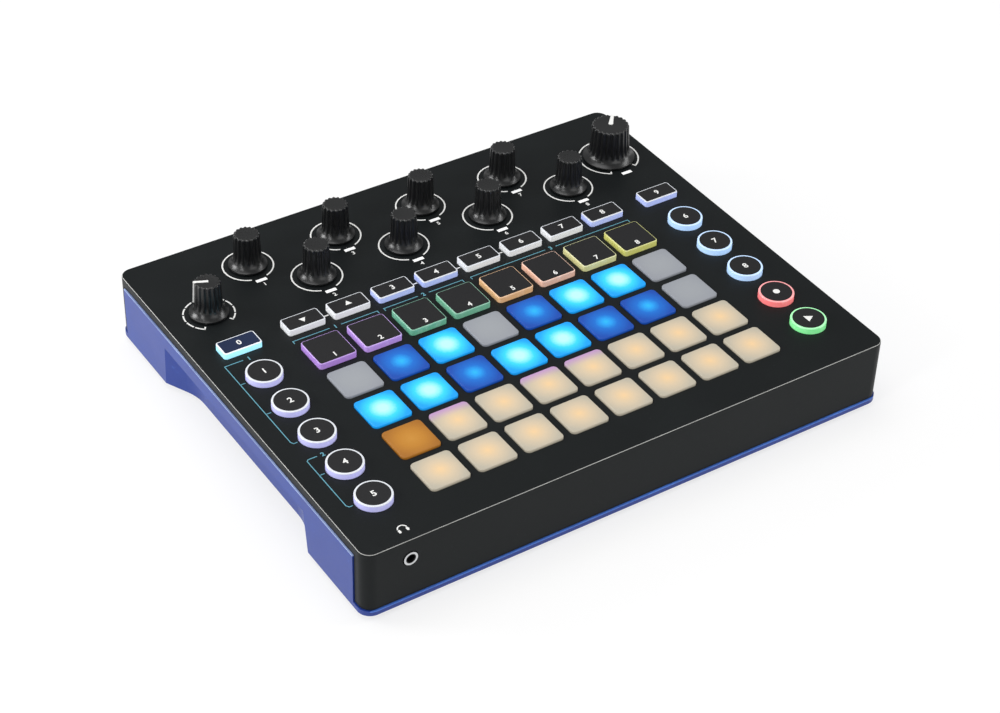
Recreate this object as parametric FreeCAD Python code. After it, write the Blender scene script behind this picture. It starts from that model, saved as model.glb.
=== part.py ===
import FreeCAD, Part
import math
import os

# Drum machine: a black top cover on a blue tub. Origin at the middle of the footprint, on the table;
# +X to the player's right, +Y to the back, +Z up. All sizes are in millimetres.

Vector = FreeCAD.Vector
UP = Vector(0, 0, 1)

# Case
case_width = 240.0
case_depth = 198.6
panel_height = 32.0
rim_step = 0.5
corner_radius = 5.5
seam = 0.4
panel_thickness = 2.0
panel_edge_radius = 0.7
cover_wall = 2.2
tub_wall = 2.2
floor_thickness = 1.6
rim_height = 2.2
side_lip = 4.0
front_wrap = 7.4
rear_wrap = 5.6

# Hand recess in each side of the tub
recess_inset = 7.0
recess_front_gap = 44.3
recess_rear_gap = 42.3
recess_band = 6.4
recess_slope = 26.0
recess_blend_radius = 23.0
recess_flare = 3.0
recess_rear_share = 0.4

# Rubber feet
foot_height = 2.6
foot_radius = 7.0
foot_recess = 0.6
foot_side_inset = 22.0
foot_end_inset = 19.0

# Grid of pads: its pitch follows from what the case leaves between the side columns, and from the
# front pads to the rear knobs
grid_columns = 8
grid_rows = 4
side_inset = 19.5
side_column_gap = 28.4
front_inset = 26.3
rear_inset = 23.5
pad_gap = 3.6
pad_corner = 1.9
pad_rise = 1.0
pad_travel = 0.8

# Function buttons
button_rise = 2.4
button_travel = 1.0
button_edge = 0.35
oblong_gap = 4.0
oblong_depth = 8.6
oblong_corner = 1.2
track_gap = 4.0
track_row_gap = 4.2
track_corner = 1.4
round_radius = 7.3
round_count = 5

# How every cap is held under the panel
cap_clearance = 0.3
flange_lip = 0.7
flange_thickness = 1.0
flange_gap = 0.3
stem_radius = 2.4
press_room = 0.3
contact_radius = 2.6
contact_height = 0.5
contact_root = 0.2

# Knobs
knob_row_gap = 25.2
knob_clearance = 0.4
macro_top_radius = 5.3
macro_base_radius = 5.8
macro_skirt_radius = 8.0
macro_height = 16.0
macro_flutes = 16
filter_top_radius = 8.1
filter_base_radius = 8.8
filter_skirt_radius = 11.3
filter_height = 17.0
filter_flutes = 22
flute_radius = 0.62
flute_depth = 0.42
knob_lip = 1.1
knob_flare = 3.6
knob_edge = 0.7
knob_roof = 3.0

# Shafts, and the parts that they turn in
shaft_radius = 3.0
shaft_flat = 1.5
shaft_fit = 0.05
knob_fit = 0.03
bush_radius = 3.6
bush_drop = 0.5
shaft_seat = 1.2
bush_floor = 1.0
control_body_width = 12.4
control_body_depth = 13.0
control_body_height = 6.4

# Light windows in the panel
window_width = 4.8
window_depth = 1.7
window_offset = 11.6
filter_window_offset = 13.8
window_fit = 0.05

# Boards and keypad mat
board_thickness = 1.6
control_board_drop = 7.0
board_side_gap = 12.5
board_front_gap = 13.3
board_rear_gap = 15.3
board_tab_width = 15.0
board_tab_gap = 4.7
mat_thickness = 0.8
mat_side_gap = 11.0
mat_front_margin = 2.0
mat_rear_reach = 8.0
mat_hole_gap = 0.5
main_board_lift = 1.8
main_board_side_gap = 22.0
main_board_rear_gap = 4.7
main_board_depth = 64.6
chip_size = 12.0
chip_height = 1.6
chip_inset = 14.0
chip_spread = 32.0
board_fit = 0.2

# Posts and screws
post_radius = 3.5
post_side_gap = 8.0
post_front_gap = 8.9
post_rear_gap = 10.3
post_room = 1.6
case_post_bottom = 8.0
boss_wall = 1.0
case_screw_radius = 1.5
case_screw_head_radius = 2.8
case_screw_head = 2.0
case_screw_length = 12.0
screw_tip_room = 1.0
screw_head_room = 0.3
counterbore_depth = 3.4
board_post_radius = 2.6
board_screw_radius = 1.0
board_screw_head_radius = 2.0
board_screw_head = 1.2
board_screw_length = 6.0
screw_fit = 0.08
main_screw_side = 8.0
main_screw_front = 6.0
main_screw_rear = 22.6

# Sockets
socket_axis_height = 13.6
socket_wall_gap = 0.2
headphone_drop = 8.9
headphone_width = 8.0
headphone_body_depth = 11.0
headphone_body_height = 7.0
headphone_ring_radius = 2.9
headphone_ear = 1.2
headphone_ear_thickness = 0.8
headphone_proud = 0.3
small_jack_radius = 1.8
small_jack_length = 10.0
large_jack_radius = 3.2
large_jack_length = 17.0
line_out_inset = 14.0
line_out_pitch = 22.0
line_out_width = 15.0
line_out_depth = 19.0
line_out_height = 12.2
line_out_nose_radius = 5.2
note_socket_pitch = 15.0
note_socket_width = 8.0
note_socket_depth = 12.0
note_socket_height = 9.8
note_nose_radius = 3.0
usb_gap = 24.0
usb_width = 12.0
usb_depth = 16.0
usb_opening_width = 8.5
usb_opening_height = 7.8
usb_tongue_width = 5.6
usb_tongue_height = 3.0
usb_reach = 9.0
power_gap = 22.0
power_width = 10.0
power_depth = 13.0
power_height = 11.2
power_nose_radius = 4.2
power_bore_radius = 3.1
power_pin_radius = 1.0
power_reach = 9.5
hole_gap = 0.35
lock_slot_inset = 20.0
lock_slot_width = 7.0
lock_slot_height = 3.0

# Power button
switch_inset = 30.0
switch_size = 6.0
switch_travel = 1.5
switch_room = 1.1
switch_proud = 0.4
switch_body_size = 10.0
switch_body_depth = 9.0
switch_body_wall = 1.2

# Battery bay for six cells, and its door
cell_radius = 7.25
cell_length = 50.5
cell_room = 0.4
cell_lift = 1.0
cell_rows = 3
cell_columns = 2
bay_front_gap = 81.3
bay_wall = 1.5
bay_roof = 1.2
contact_room = 2.6
contact_thickness = 0.4
contact_size = 9.0
contact_dimple = 1.6
door_thickness = 1.8
door_gap = 0.3
hinge_radius = 1.4
hinge_pin_radius = 0.9
hinge_pin_length = 1.1
hinge_fit = 0.06
latch_width = 14.0
latch_depth = 5.0
latch_cut = 0.8
latch_grip_margin = 1.2
latch_grip_side = 2.0
latch_grip_depth = 0.7
door_rib = 1.2
door_rib_inset = 3.0
hinge_end_room = 0.2

# Loudspeaker
speaker_front_gap = 85.3
speaker_radius = 20.0
speaker_flange = 1.4
speaker_basket = 6.0
speaker_magnet_radius = 12.0
speaker_magnet = 5.5
speaker_cone = 0.5
speaker_ring_width = 3.0
speaker_rim = 1.0
speaker_roof = 1.0
speaker_cone_gap = 1.2
slot_width = 1.8
slot_pitch = 4.0
slot_reach = 15.5
slot_end_share = 0.45

# How far a cutter runs past the face that it opens
over = 1.0

# Worked-out levels, from the table up
tub_bottom = foot_height
floor_top = tub_bottom + floor_thickness
rim_top = tub_bottom + rim_height
cover_bottom = rim_top + seam
panel_under = panel_height - panel_thickness
side_lip_bottom = panel_height - side_lip
side_top = side_lip_bottom - seam
band_bottom = side_top - recess_band
control_board_top = panel_under - control_board_drop
control_board_bottom = control_board_top - board_thickness
mat_top = control_board_top + mat_thickness
contact_top = mat_top + contact_height
flange_top = panel_under - flange_gap
flange_bottom = flange_top - flange_thickness
main_board_bottom = floor_top + main_board_lift
main_board_top = main_board_bottom + board_thickness

# Worked-out places across the case
cover_width = case_width - 2 * rim_step
cover_depth = case_depth - 2 * rim_step
cover_corner = corner_radius - rim_step
front_inner = -cover_depth / 2 + cover_wall
rear_inner = cover_depth / 2 - cover_wall
front_seam = -cover_depth / 2 + front_wrap
rear_seam = cover_depth / 2 - rear_wrap
side_column_x = case_width / 2 - side_inset
column_pitch = 2 * (side_column_x - side_column_gap) / (grid_columns - 1)
row_pitch = (case_depth - front_inset - rear_inset - knob_row_gap) / (grid_rows + 2)
pad_width = column_pitch - pad_gap
pad_depth = row_pitch - pad_gap
oblong_width = column_pitch - oblong_gap
track_width = column_pitch - track_gap
track_depth = row_pitch - track_row_gap
column_x = [(i - (grid_columns - 1) / 2) * column_pitch for i in range(grid_columns)]
pad_row_y = [-case_depth / 2 + front_inset + (grid_rows - 1 - i) * row_pitch for i in range(grid_rows)]
track_row_y = pad_row_y[0] + row_pitch
oblong_row_y = track_row_y + row_pitch
near_knob_y = oblong_row_y + knob_row_gap
far_knob_y = near_knob_y + row_pitch
round_y = [track_row_y - i * row_pitch for i in range(round_count)]
filter_knob_y = (near_knob_y + far_knob_y) / 2
macro_places = [(x, far_knob_y if i % 2 == 0 else near_knob_y) for i, x in enumerate(column_x)]
volume_place = (-side_column_x, near_knob_y)
filter_place = (side_column_x, filter_knob_y)
bay_length = cell_columns * cell_length + 2 * contact_room
bay_width = cell_rows * (2 * cell_radius + cell_room) + cell_room
bay_middle_y = -case_depth / 2 + bay_front_gap
bay_rear = bay_middle_y + bay_width / 2
bay_front = bay_middle_y - bay_width / 2
cell_axis = floor_top + cell_lift + cell_radius
bay_top = cell_axis + cell_radius + cell_room
board_width = case_width - 2 * board_side_gap
board_front = -case_depth / 2 + board_front_gap
board_rear = case_depth / 2 - board_rear_gap
board_tab_front = -case_depth / 2 + board_tab_gap
mat_width = case_width - 2 * mat_side_gap
mat_front = board_front + mat_front_margin
mat_rear = oblong_row_y + mat_rear_reach
main_board_width = case_width - 2 * main_board_side_gap
main_board_rear = case_depth / 2 - main_board_rear_gap
main_board_front = main_board_rear - main_board_depth
line_out_x = -main_board_width / 2 + line_out_inset
note_socket_x = line_out_x + 2 * line_out_pitch
switch_x = main_board_width / 2 - switch_inset
power_x = switch_x - power_gap
usb_x = power_x - usb_gap
lock_slot_x = case_width / 2 - lock_slot_inset
recess_front = -case_depth / 2 + recess_front_gap
recess_rear = case_depth / 2 - recess_rear_gap
recess_wall_x = case_width / 2 - recess_inset - tub_wall
speaker_x = -(recess_wall_x + bay_length / 2 + bay_wall) / 2
speaker_y = -case_depth / 2 + speaker_front_gap
case_post_x = case_width / 2 - post_side_gap
case_post_front = -case_depth / 2 + post_front_gap
case_post_rear = case_depth / 2 - post_rear_gap
board_post_x = (column_x[-1] + pad_width / 2 + side_column_x - round_radius) / 2
case_posts = [(-case_post_x, case_post_front), (case_post_x, case_post_front),
              (-case_post_x, case_post_rear), (case_post_x, case_post_rear),
              (0.0, case_post_front), (0.0, case_post_rear)]
board_posts = [(side * board_post_x, y) for side in (-1, 1)
               for y in (pad_row_y[-1], pad_row_y[1], track_row_y, far_knob_y)]
main_screws = [(side * (main_board_width / 2 - main_screw_side), y) for side in (-1, 1)
               for y in (main_board_front + main_screw_front, main_board_rear - main_screw_rear)]
feet = [(sx * (case_width / 2 - foot_side_inset), sy * (case_depth / 2 - foot_end_inset))
        for sx in (-1, 1) for sy in (-1, 1)]


def block(x0, x1, y0, y1, z0, z1):
    """A box from its lowest to its highest corner."""
    return Part.makeBox(x1 - x0, y1 - y0, z1 - z0, Vector(x0, y0, z0))


def disc(x, y, radius, z0, z1):
    """An upright cylinder."""
    return Part.makeCylinder(radius, z1 - z0, Vector(x, y, z0), UP)


def rod_y(x, z, radius, y0, y1):
    """A cylinder that lies along Y."""
    return Part.makeCylinder(radius, y1 - y0, Vector(x, y0, z), Vector(0, 1, 0))


def rod_x(y, z, radius, x0, x1):
    """A cylinder that lies along X."""
    return Part.makeCylinder(radius, x1 - x0, Vector(x0, y, z), Vector(1, 0, 0))


def rounded_block(cx, cy, width, depth, radius, z0, z1):
    """An upright block whose plan is a rectangle with round corners."""
    x0, x1 = cx - width / 2, cx + width / 2
    y0, y1 = cy - depth / 2, cy + depth / 2
    away = radius * (1 - math.sqrt(0.5))
    corners = [(x1, y0, -1, 1), (x1, y1, -1, -1), (x0, y1, 1, -1), (x0, y0, 1, 1)]
    edges = []
    last = Vector(x0 + radius, y0, z0)
    for i, (x, y, sx, sy) in enumerate(corners):
        along_x = Vector(x + sx * radius, y, z0)
        along_y = Vector(x, y + sy * radius, z0)
        start, end = (along_x, along_y) if i % 2 == 0 else (along_y, along_x)
        edges.append(Part.LineSegment(last, start).toShape())
        edges.append(Part.Arc(start, Vector(x + sx * away, y + sy * away, z0), end).toShape())
        last = end
    return Part.Face(Part.Wire(edges)).extrude(Vector(0, 0, z1 - z0))


def soft_top(solid, level, radius):
    """Rounds every edge that lies wholly in the level plane."""
    edges = [e for e in solid.Edges
             if abs(e.BoundBox.ZMin - level) < 1e-4 and abs(e.BoundBox.ZMax - level) < 1e-4]
    return solid.makeFillet(radius, edges)


def joined(shapes):
    """Fuses touching shapes into one solid."""
    return shapes[0].fuse(shapes[1:]).removeSplitter()


def save(name, shape):
    """Writes one sub-part, a solid or a list of separate solids."""
    if isinstance(shape, list):
        shape = Part.makeCompound(shape)
    shape.exportStep("parts/" + name + ".step")


# Caps: pads and buttons

def cap_under(cx, cy, width, depth, radius, travel):
    """The flange and stem below a cap's visible body."""
    flange = rounded_block(cx, cy, width + 2 * flange_lip, depth + 2 * flange_lip,
                           radius + flange_lip, flange_bottom, flange_top)
    stem = disc(cx, cy, stem_radius, contact_top + travel + press_room, flange_bottom)
    return [flange, stem]


def square_cap(cx, cy, width, depth, radius, rise, travel):
    """A pad or a button with a rectangular face."""
    top = panel_height + rise
    body = rounded_block(cx, cy, width, depth, radius, flange_top, top)
    return joined([soft_top(body, top, button_edge)] + cap_under(cx, cy, width, depth, radius, travel))


def round_cap(cx, cy):
    """A round button."""
    top = panel_height + button_rise
    body = soft_top(disc(cx, cy, round_radius, flange_top, top), top, button_edge)
    flange = disc(cx, cy, round_radius + flange_lip, flange_bottom, flange_top)
    stem = disc(cx, cy, stem_radius, contact_top + button_travel + press_room, flange_bottom)
    return joined([body, flange, stem])


def square_hole(cx, cy, width, depth, radius):
    """The cutter for a rectangular cap's hole in the panel."""
    return rounded_block(cx, cy, width + 2 * cap_clearance, depth + 2 * cap_clearance,
                         radius + cap_clearance, panel_under - over, panel_height + over)


# Knobs and what they turn in

def d_shaft(cx, cy, radius, z0, z1, grow):
    """A round shaft with one flat, grown outwards by a clearance."""
    shaft = disc(cx, cy, radius + grow, z0, z1)
    flat_y = cy - radius + shaft_flat - grow
    return shaft.cut(block(cx - radius * 2, cx + radius * 2, flat_y - radius * 2, flat_y, z0, z1))


def fluted_knob(cx, cy, top_radius, base_radius, skirt_radius, height, flutes):
    """A tapered knob with upright flutes and a flared skirt, and the shaft that it is pressed on."""
    z0 = panel_height + knob_clearance
    lip_top = z0 + knob_lip
    flare_top = lip_top + knob_flare
    top = panel_height + height
    rise = skirt_radius - base_radius
    away = 1 - math.sqrt(0.5)
    p = [Vector(0, 0, z0), Vector(skirt_radius, 0, z0), Vector(skirt_radius, 0, lip_top),
         Vector(base_radius + rise * away, 0, lip_top + knob_flare * away),
         Vector(base_radius, 0, flare_top), Vector(top_radius, 0, top - knob_edge),
         Vector(top_radius - knob_edge * away, 0, top - knob_edge * away),
         Vector(top_radius - knob_edge, 0, top), Vector(0, 0, top)]
    outline = Part.Wire([Part.LineSegment(p[0], p[1]).toShape(), Part.LineSegment(p[1], p[2]).toShape(),
                         Part.Arc(p[2], p[3], p[4]).toShape(), Part.LineSegment(p[4], p[5]).toShape(),
                         Part.Arc(p[5], p[6], p[7]).toShape(), Part.LineSegment(p[7], p[8]).toShape(),
                         Part.LineSegment(p[8], p[0]).toShape()])
    knob = Part.Face(outline).revolve(Vector(0, 0, 0), UP, 360)
    reach = flute_radius - flute_depth
    foot = Vector(base_radius + reach, 0, flare_top)
    head = Vector(top_radius + reach, 0, top)
    slope = head.sub(foot)
    slope.normalize()
    groove = Part.makeCylinder(flute_radius, height, foot, slope)
    groove = groove.fuse(Part.makeSphere(flute_radius, foot))
    cutters = []
    for i in range(flutes):
        turned = groove.copy()
        turned.rotate(Vector(0, 0, 0), UP, 360.0 * (i + 0.5) / flutes)
        cutters.append(turned)
    knob = knob.cut(cutters)
    knob.translate(Vector(cx, cy, 0))
    shaft_top = top - knob_roof
    knob = knob.cut(d_shaft(cx, cy, shaft_radius, z0, shaft_top + knob_fit, knob_fit))
    shaft = disc(cx, cy, shaft_radius, control_board_top + shaft_seat, z0)
    shaft = shaft.fuse(d_shaft(cx, cy, shaft_radius, z0, shaft_top, 0)).removeSplitter()
    return [knob, shaft]


def turning_body(cx, cy):
    """An encoder or potentiometer: its body on the board, and the bush round the shaft."""
    half_w, half_d = control_body_width / 2, control_body_depth / 2
    body_top = control_board_top + control_body_height
    body = block(cx - half_w, cx + half_w, cy - half_d, cy + half_d, control_board_top, body_top)
    bush = disc(cx, cy, bush_radius, body_top, panel_height - bush_drop)
    bore = disc(cx, cy, shaft_radius + shaft_fit, control_board_top + bush_floor, panel_height)
    return joined([body, bush]).cut(bore)


def light_window(cx, knob_y, offset):
    """One light guide that stands on the board and ends flush with the panel."""
    y = knob_y - offset
    return block(cx - window_width / 2, cx + window_width / 2, y - window_depth / 2,
                 y + window_depth / 2, control_board_top, panel_height)


# Case shells

def recess_cutter(side, grow):
    """The hand recess of one side: a plan with sloping ends, longer at the foot than at the top."""
    slope = math.radians(recess_slope)
    inset = recess_inset + grow
    outer = case_width / 2 + over
    inner = case_width / 2 - inset
    radius = recess_blend_radius
    blend_depth = radius * (1 - math.cos(slope))
    blend_length = radius * math.sin(slope)
    run = (outer - inner - blend_depth) / math.tan(slope)

    def plan(level, stretch):
        front = recess_front - stretch - grow / math.sin(slope) / 2
        rear = recess_rear + stretch * recess_rear_share + grow / math.sin(slope) / 2
        extra = over / math.tan(slope)
        half = math.radians(recess_slope / 2)
        edges = []
        points = []
        for end, way in ((front - extra, 1), (rear + extra, -1)):
            mouth = Vector(side * outer, end, level)
            knee = Vector(side * (inner + blend_depth), end + way * run, level)
            mid = Vector(side * (inner + radius * (1 - math.cos(half))),
                         end + way * (run + blend_length - radius * math.sin(half)), level)
            flat = Vector(side * inner, end + way * (run + blend_length), level)
            points.append((mouth, knee, mid, flat))
        a, b = points
        edges.append(Part.LineSegment(a[0], a[1]).toShape())
        edges.append(Part.Arc(a[1], a[2], a[3]).toShape())
        edges.append(Part.LineSegment(a[3], b[3]).toShape())
        edges.append(Part.Arc(b[3], b[2], b[1]).toShape())
        edges.append(Part.LineSegment(b[1], b[0]).toShape())
        edges.append(Part.LineSegment(b[0], a[0]).toShape())
        return Part.Wire(edges)

    top = band_bottom + grow
    low = tub_bottom - over
    return Part.makeLoft([plan(low, recess_flare), plan(top, 0.0)], True, True)


def make_cover():
    """The top cover: panel, aprons, side lips and the posts under the panel."""
    shell = rounded_block(0, 0, cover_width, cover_depth, cover_corner, cover_bottom, panel_height)
    shell = soft_top(shell, panel_height, panel_edge_radius)
    inside = rounded_block(0, 0, cover_width - 2 * cover_wall, cover_depth - 2 * cover_wall,
                           max(cover_corner - cover_wall, 0.5), cover_bottom - over, panel_under)
    shell = shell.cut(inside)
    shell = shell.cut([block(sx * cover_width / 2 - cover_wall * 2, sx * cover_width / 2 + cover_wall * 2,
                             front_seam, rear_seam, cover_bottom - over, side_lip_bottom) for sx in (-1, 1)])
    posts = [disc(x, y, post_radius, case_post_bottom, panel_under) for x, y in case_posts]
    posts += [disc(x, y, board_post_radius, control_board_top, panel_under) for x, y in board_posts]
    shell = joined([shell] + posts)
    screw_end = tub_bottom + counterbore_depth + case_screw_length + screw_tip_room
    holes = [disc(x, y, case_screw_radius + screw_fit, case_post_bottom - over, screw_end)
             for x, y in case_posts]
    holes += [disc(x, y, board_screw_radius + screw_fit, control_board_top - over,
                   control_board_bottom + board_screw_length + screw_tip_room) for x, y in board_posts]
    holes += [square_hole(x, y, pad_width, pad_depth, pad_corner) for x in column_x for y in pad_row_y]
    holes += [square_hole(x, track_row_y, track_width, track_depth, track_corner) for x in column_x]
    holes += [square_hole(x, oblong_row_y, oblong_width, oblong_depth, oblong_corner)
              for x in column_x + [-side_column_x, side_column_x]]
    holes += [disc(sx * side_column_x, y, round_radius + cap_clearance, panel_under - over,
                   panel_height + over) for sx in (-1, 1) for y in round_y]
    holes += [disc(x, y, bush_radius + cap_clearance, panel_under - over, panel_height + over)
              for x, y in macro_places + [volume_place, filter_place]]
    for x, y, offset in window_places():
        half_w, half_d = window_width / 2 + window_fit, window_depth / 2 + window_fit
        holes.append(block(x - half_w, x + half_w, y - offset - half_d, y - offset + half_d,
                           panel_under - over, panel_height + over))
    holes += rear_holes()
    holes.append(rod_y(-side_column_x, panel_height - headphone_drop, headphone_ring_radius + hole_gap,
                       -cover_depth / 2 - over, front_inner + over))
    return shell.cut(holes)


def window_places():
    """Knob places and offsets of the light windows, one per macro knob and one for the filter."""
    return [(x, y, window_offset) for x, y in macro_places] + [filter_place + (filter_window_offset,)]


def rear_holes():
    """Cutters for the holes in the rear apron."""
    y0, y1 = rear_inner - over, cover_depth / 2 + over
    z = socket_axis_height
    holes = [rod_y(line_out_x + i * line_out_pitch, z, line_out_nose_radius + hole_gap, y0, y1)
             for i in range(2)]
    holes += [rod_y(note_socket_x + i * note_socket_pitch, z, note_nose_radius + hole_gap, y0, y1)
              for i in range(2)]
    holes.append(rod_y(power_x, z, power_nose_radius + hole_gap, y0, y1))
    half = usb_width / 2 + hole_gap
    holes.append(block(usb_x - half, usb_x + half, y0, y1, main_board_top - hole_gap, z + half))
    half = switch_size / 2 + cap_clearance
    holes.append(block(switch_x - half, switch_x + half, y0, y1, z - half, z + half))
    holes.append(block(lock_slot_x - lock_slot_width / 2, lock_slot_x + lock_slot_width / 2, y0, y1,
                       z - lock_slot_height / 2, z + lock_slot_height / 2))
    return holes


def make_tub():
    """The blue tub: floor, rim, sides with hand recesses, battery bay, bosses and grille."""
    rim = rounded_block(0, 0, case_width, case_depth, corner_radius, tub_bottom, rim_top)
    sides = block(-case_width / 2, case_width / 2, front_seam + seam, rear_seam - seam,
                  tub_bottom, side_top)
    outer = joined([rim, sides])
    cavity = block(-case_width / 2 + tub_wall, case_width / 2 - tub_wall, front_seam + seam + tub_wall,
                   rear_seam - seam - tub_wall, floor_top, side_top + over)
    inside = 2 * cover_wall + 2 * seam
    ends = rounded_block(0, 0, cover_width - inside, cover_depth - inside,
                         max(cover_corner - cover_wall - seam, 0.5), floor_top, side_top + over)
    middle = block(-case_width / 2 + tub_wall + rim_step, case_width / 2 - tub_wall - rim_step,
                   front_seam, rear_seam, floor_top, side_top + over)
    cavity = cavity.fuse([ends, middle])
    for side in (-1, 1):
        cavity = cavity.cut(recess_cutter(side, tub_wall))
    tub = outer.cut([recess_cutter(-1, 0.0), recess_cutter(1, 0.0), cavity])
    half = bay_length / 2 + bay_wall
    bay = block(-half, half, bay_front - bay_wall, bay_rear + bay_wall, tub_bottom, bay_top + bay_roof)
    bosses = [disc(x, y, post_radius + boss_wall, tub_bottom, case_post_bottom - screw_fit)
              for x, y in case_posts]
    bosses += [disc(x, y, board_post_radius, floor_top - floor_thickness / 2, main_board_bottom)
               for x, y in main_screws]
    tub = joined([tub, bay] + bosses)
    cuts = [block(-bay_length / 2, bay_length / 2, bay_front, bay_rear, tub_bottom - over, bay_top)]
    cuts += [disc(x, y, case_screw_head_radius + screw_head_room, tub_bottom - over,
                  tub_bottom + counterbore_depth) for x, y in case_posts]
    cuts += [disc(x, y, case_screw_radius + screw_fit * 2, tub_bottom, case_post_bottom)
             for x, y in case_posts]
    cuts += [disc(x, y, board_screw_radius + screw_fit, floor_top - floor_thickness / 2,
                  main_board_bottom + over) for x, y in main_screws]
    cuts += [disc(x, y, foot_radius + screw_fit, tub_bottom - over, tub_bottom + foot_recess)
             for x, y in feet]
    hinge_end = bay_length / 2 + hinge_pin_length + hinge_end_room
    cuts.append(rod_x(hinge_y(), hinge_z(), hinge_pin_radius + hinge_fit, -hinge_end, hinge_end))
    count = int(slot_reach / slot_pitch)
    for i in range(-count, count + 1):
        y = speaker_y + i * slot_pitch
        reach = math.sqrt(slot_reach ** 2 - (i * slot_pitch) ** 2)
        cuts.append(rounded_block(speaker_x, y, 2 * reach + slot_width, slot_width,
                                  slot_width * slot_end_share, tub_bottom - over, floor_top + over))
    return tub.cut(cuts)


def hinge_y():
    """The door hinge's axis, just inside the rear edge of the battery opening."""
    return bay_rear - door_gap - hinge_radius


def hinge_z():
    """The height of the door hinge's axis."""
    return tub_bottom + hinge_radius


def make_door():
    """The battery door: plate, hinge barrel with two pins, and a latch tongue at its front edge."""
    half = bay_length / 2 - door_gap
    front = bay_front + door_gap
    plate = block(-half, half, front, hinge_y(), tub_bottom, tub_bottom + door_thickness)
    barrel = rod_x(hinge_y(), hinge_z(), hinge_radius, -half, half)
    pins = rod_x(hinge_y(), hinge_z(), hinge_pin_radius, -half - door_gap - hinge_pin_length,
                 half + door_gap + hinge_pin_length)
    rib = block(-half + door_rib_inset, half - door_rib_inset, bay_middle_y - door_rib / 2,
                bay_middle_y + door_rib / 2, tub_bottom, floor_top + cell_room / 2)
    door = joined([plate, barrel, pins, rib])
    slits = [block(sx * latch_width / 2 - latch_cut / 2, sx * latch_width / 2 + latch_cut / 2, front - over,
                   front + latch_depth, tub_bottom - over, tub_bottom + door_thickness + over)
             for sx in (-1, 1)]
    grip = block(-latch_width / 2 + latch_grip_side, latch_width / 2 - latch_grip_side,
                 front + latch_grip_margin, front + latch_depth - latch_grip_margin,
                 tub_bottom - over, tub_bottom + latch_grip_depth)
    return door.cut(slits + [grip])


# Inner pieces

def make_control_board():
    """The board under the panel, with a tab that carries the headphone socket."""
    board = block(-board_width / 2, board_width / 2, board_front, board_rear,
                  control_board_bottom, control_board_top)
    tab = block(-side_column_x - board_tab_width / 2, -side_column_x + board_tab_width / 2,
                board_tab_front, board_front, control_board_bottom, control_board_top)
    half = headphone_width / 2 + board_fit
    notch = block(-side_column_x - half, -side_column_x + half, board_tab_front - over,
                  headphone_rear() + board_fit, control_board_bottom - over, control_board_top + over)
    holes = [disc(x, y, board_screw_radius + board_fit, control_board_bottom - over, control_board_top + over)
             for x, y in board_posts]
    return joined([board, tab]).cut([notch] + holes)


def make_mat():
    """The silicone mat with one contact under every cap."""
    sheet = block(-mat_width / 2, mat_width / 2, mat_front, mat_rear, control_board_top, mat_top)
    places = [(x, y) for x in column_x for y in pad_row_y + [track_row_y, oblong_row_y]]
    places += [(sx * side_column_x, y) for sx in (-1, 1) for y in round_y + [oblong_row_y]]
    contacts = [disc(x, y, contact_radius, mat_top - contact_root, contact_top) for x, y in places]
    holes = [disc(x, y, board_post_radius + mat_hole_gap, control_board_top - over, mat_top + over)
             for x, y in board_posts]
    return joined([sheet] + contacts).cut(holes)


def switch_floor():
    """The inner end of the hollow in the power button's housing."""
    return rear_inner - socket_wall_gap - switch_body_depth + switch_body_wall


def make_main_board():
    """The board behind the rear apron, with its chips and the housing of the power button."""
    board = block(-main_board_width / 2, main_board_width / 2, main_board_front, main_board_rear,
                  main_board_bottom, main_board_top)
    chip_y = main_board_front + chip_inset
    chips = [block(x - chip_size / 2, x + chip_size / 2, chip_y - chip_size / 2, chip_y + chip_size / 2,
                   main_board_top, main_board_top + chip_height)
             for x in (-chip_spread, 0.0, chip_spread)]
    half = switch_body_size / 2
    rear = rear_inner - socket_wall_gap
    housing = block(switch_x - half, switch_x + half, rear - switch_body_depth, rear,
                    main_board_top, socket_axis_height + half)
    inner = switch_size / 2 + cap_clearance
    hollow = block(switch_x - inner, switch_x + inner, switch_floor(), rear + over,
                   socket_axis_height - inner, socket_axis_height + inner)
    holes = [disc(x, y, board_screw_radius + board_fit, main_board_bottom - over, main_board_top + over)
             for x, y in main_screws]
    holes.append(disc(0, case_post_rear, post_radius + post_room, main_board_bottom - over,
                      main_board_top + over))
    return joined([board, housing] + chips).cut([hollow] + holes)


def headphone_rear():
    """How far back the headphone socket's body reaches."""
    return front_inner + socket_wall_gap + headphone_body_depth


def make_headphone_socket():
    """The headphone socket: body with two ears on the board, and a ring that shows in the apron."""
    x, z = -side_column_x, panel_height - headphone_drop
    half_w, half_h = headphone_width / 2, headphone_body_height / 2
    front = front_inner + socket_wall_gap
    body = block(x - half_w, x + half_w, front, headphone_rear(), z - half_h, z + half_h)
    ears = block(x - half_w - headphone_ear, x + half_w + headphone_ear, board_tab_front + over,
                 headphone_rear(), control_board_top, control_board_top + headphone_ear_thickness)
    mouth = -cover_depth / 2 - headphone_proud
    ring = rod_y(x, z, headphone_ring_radius, mouth, front)
    bore = rod_y(x, z, small_jack_radius, mouth - over, mouth + small_jack_length)
    return joined([body, ears, ring]).cut(bore)


def rear_jack(x, width, depth, height, nose_radius, bore_radius, bore_length):
    """A socket on the main board whose nose reaches through the rear apron."""
    rear = rear_inner - socket_wall_gap
    nose_end = cover_depth / 2
    body = block(x - width / 2, x + width / 2, rear - depth, rear, main_board_top, main_board_top + height)
    nose = rod_y(x, socket_axis_height, nose_radius, rear, nose_end)
    bore = rod_y(x, socket_axis_height, bore_radius, nose_end - bore_length, nose_end + over)
    return joined([body, nose]).cut(bore)


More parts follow.
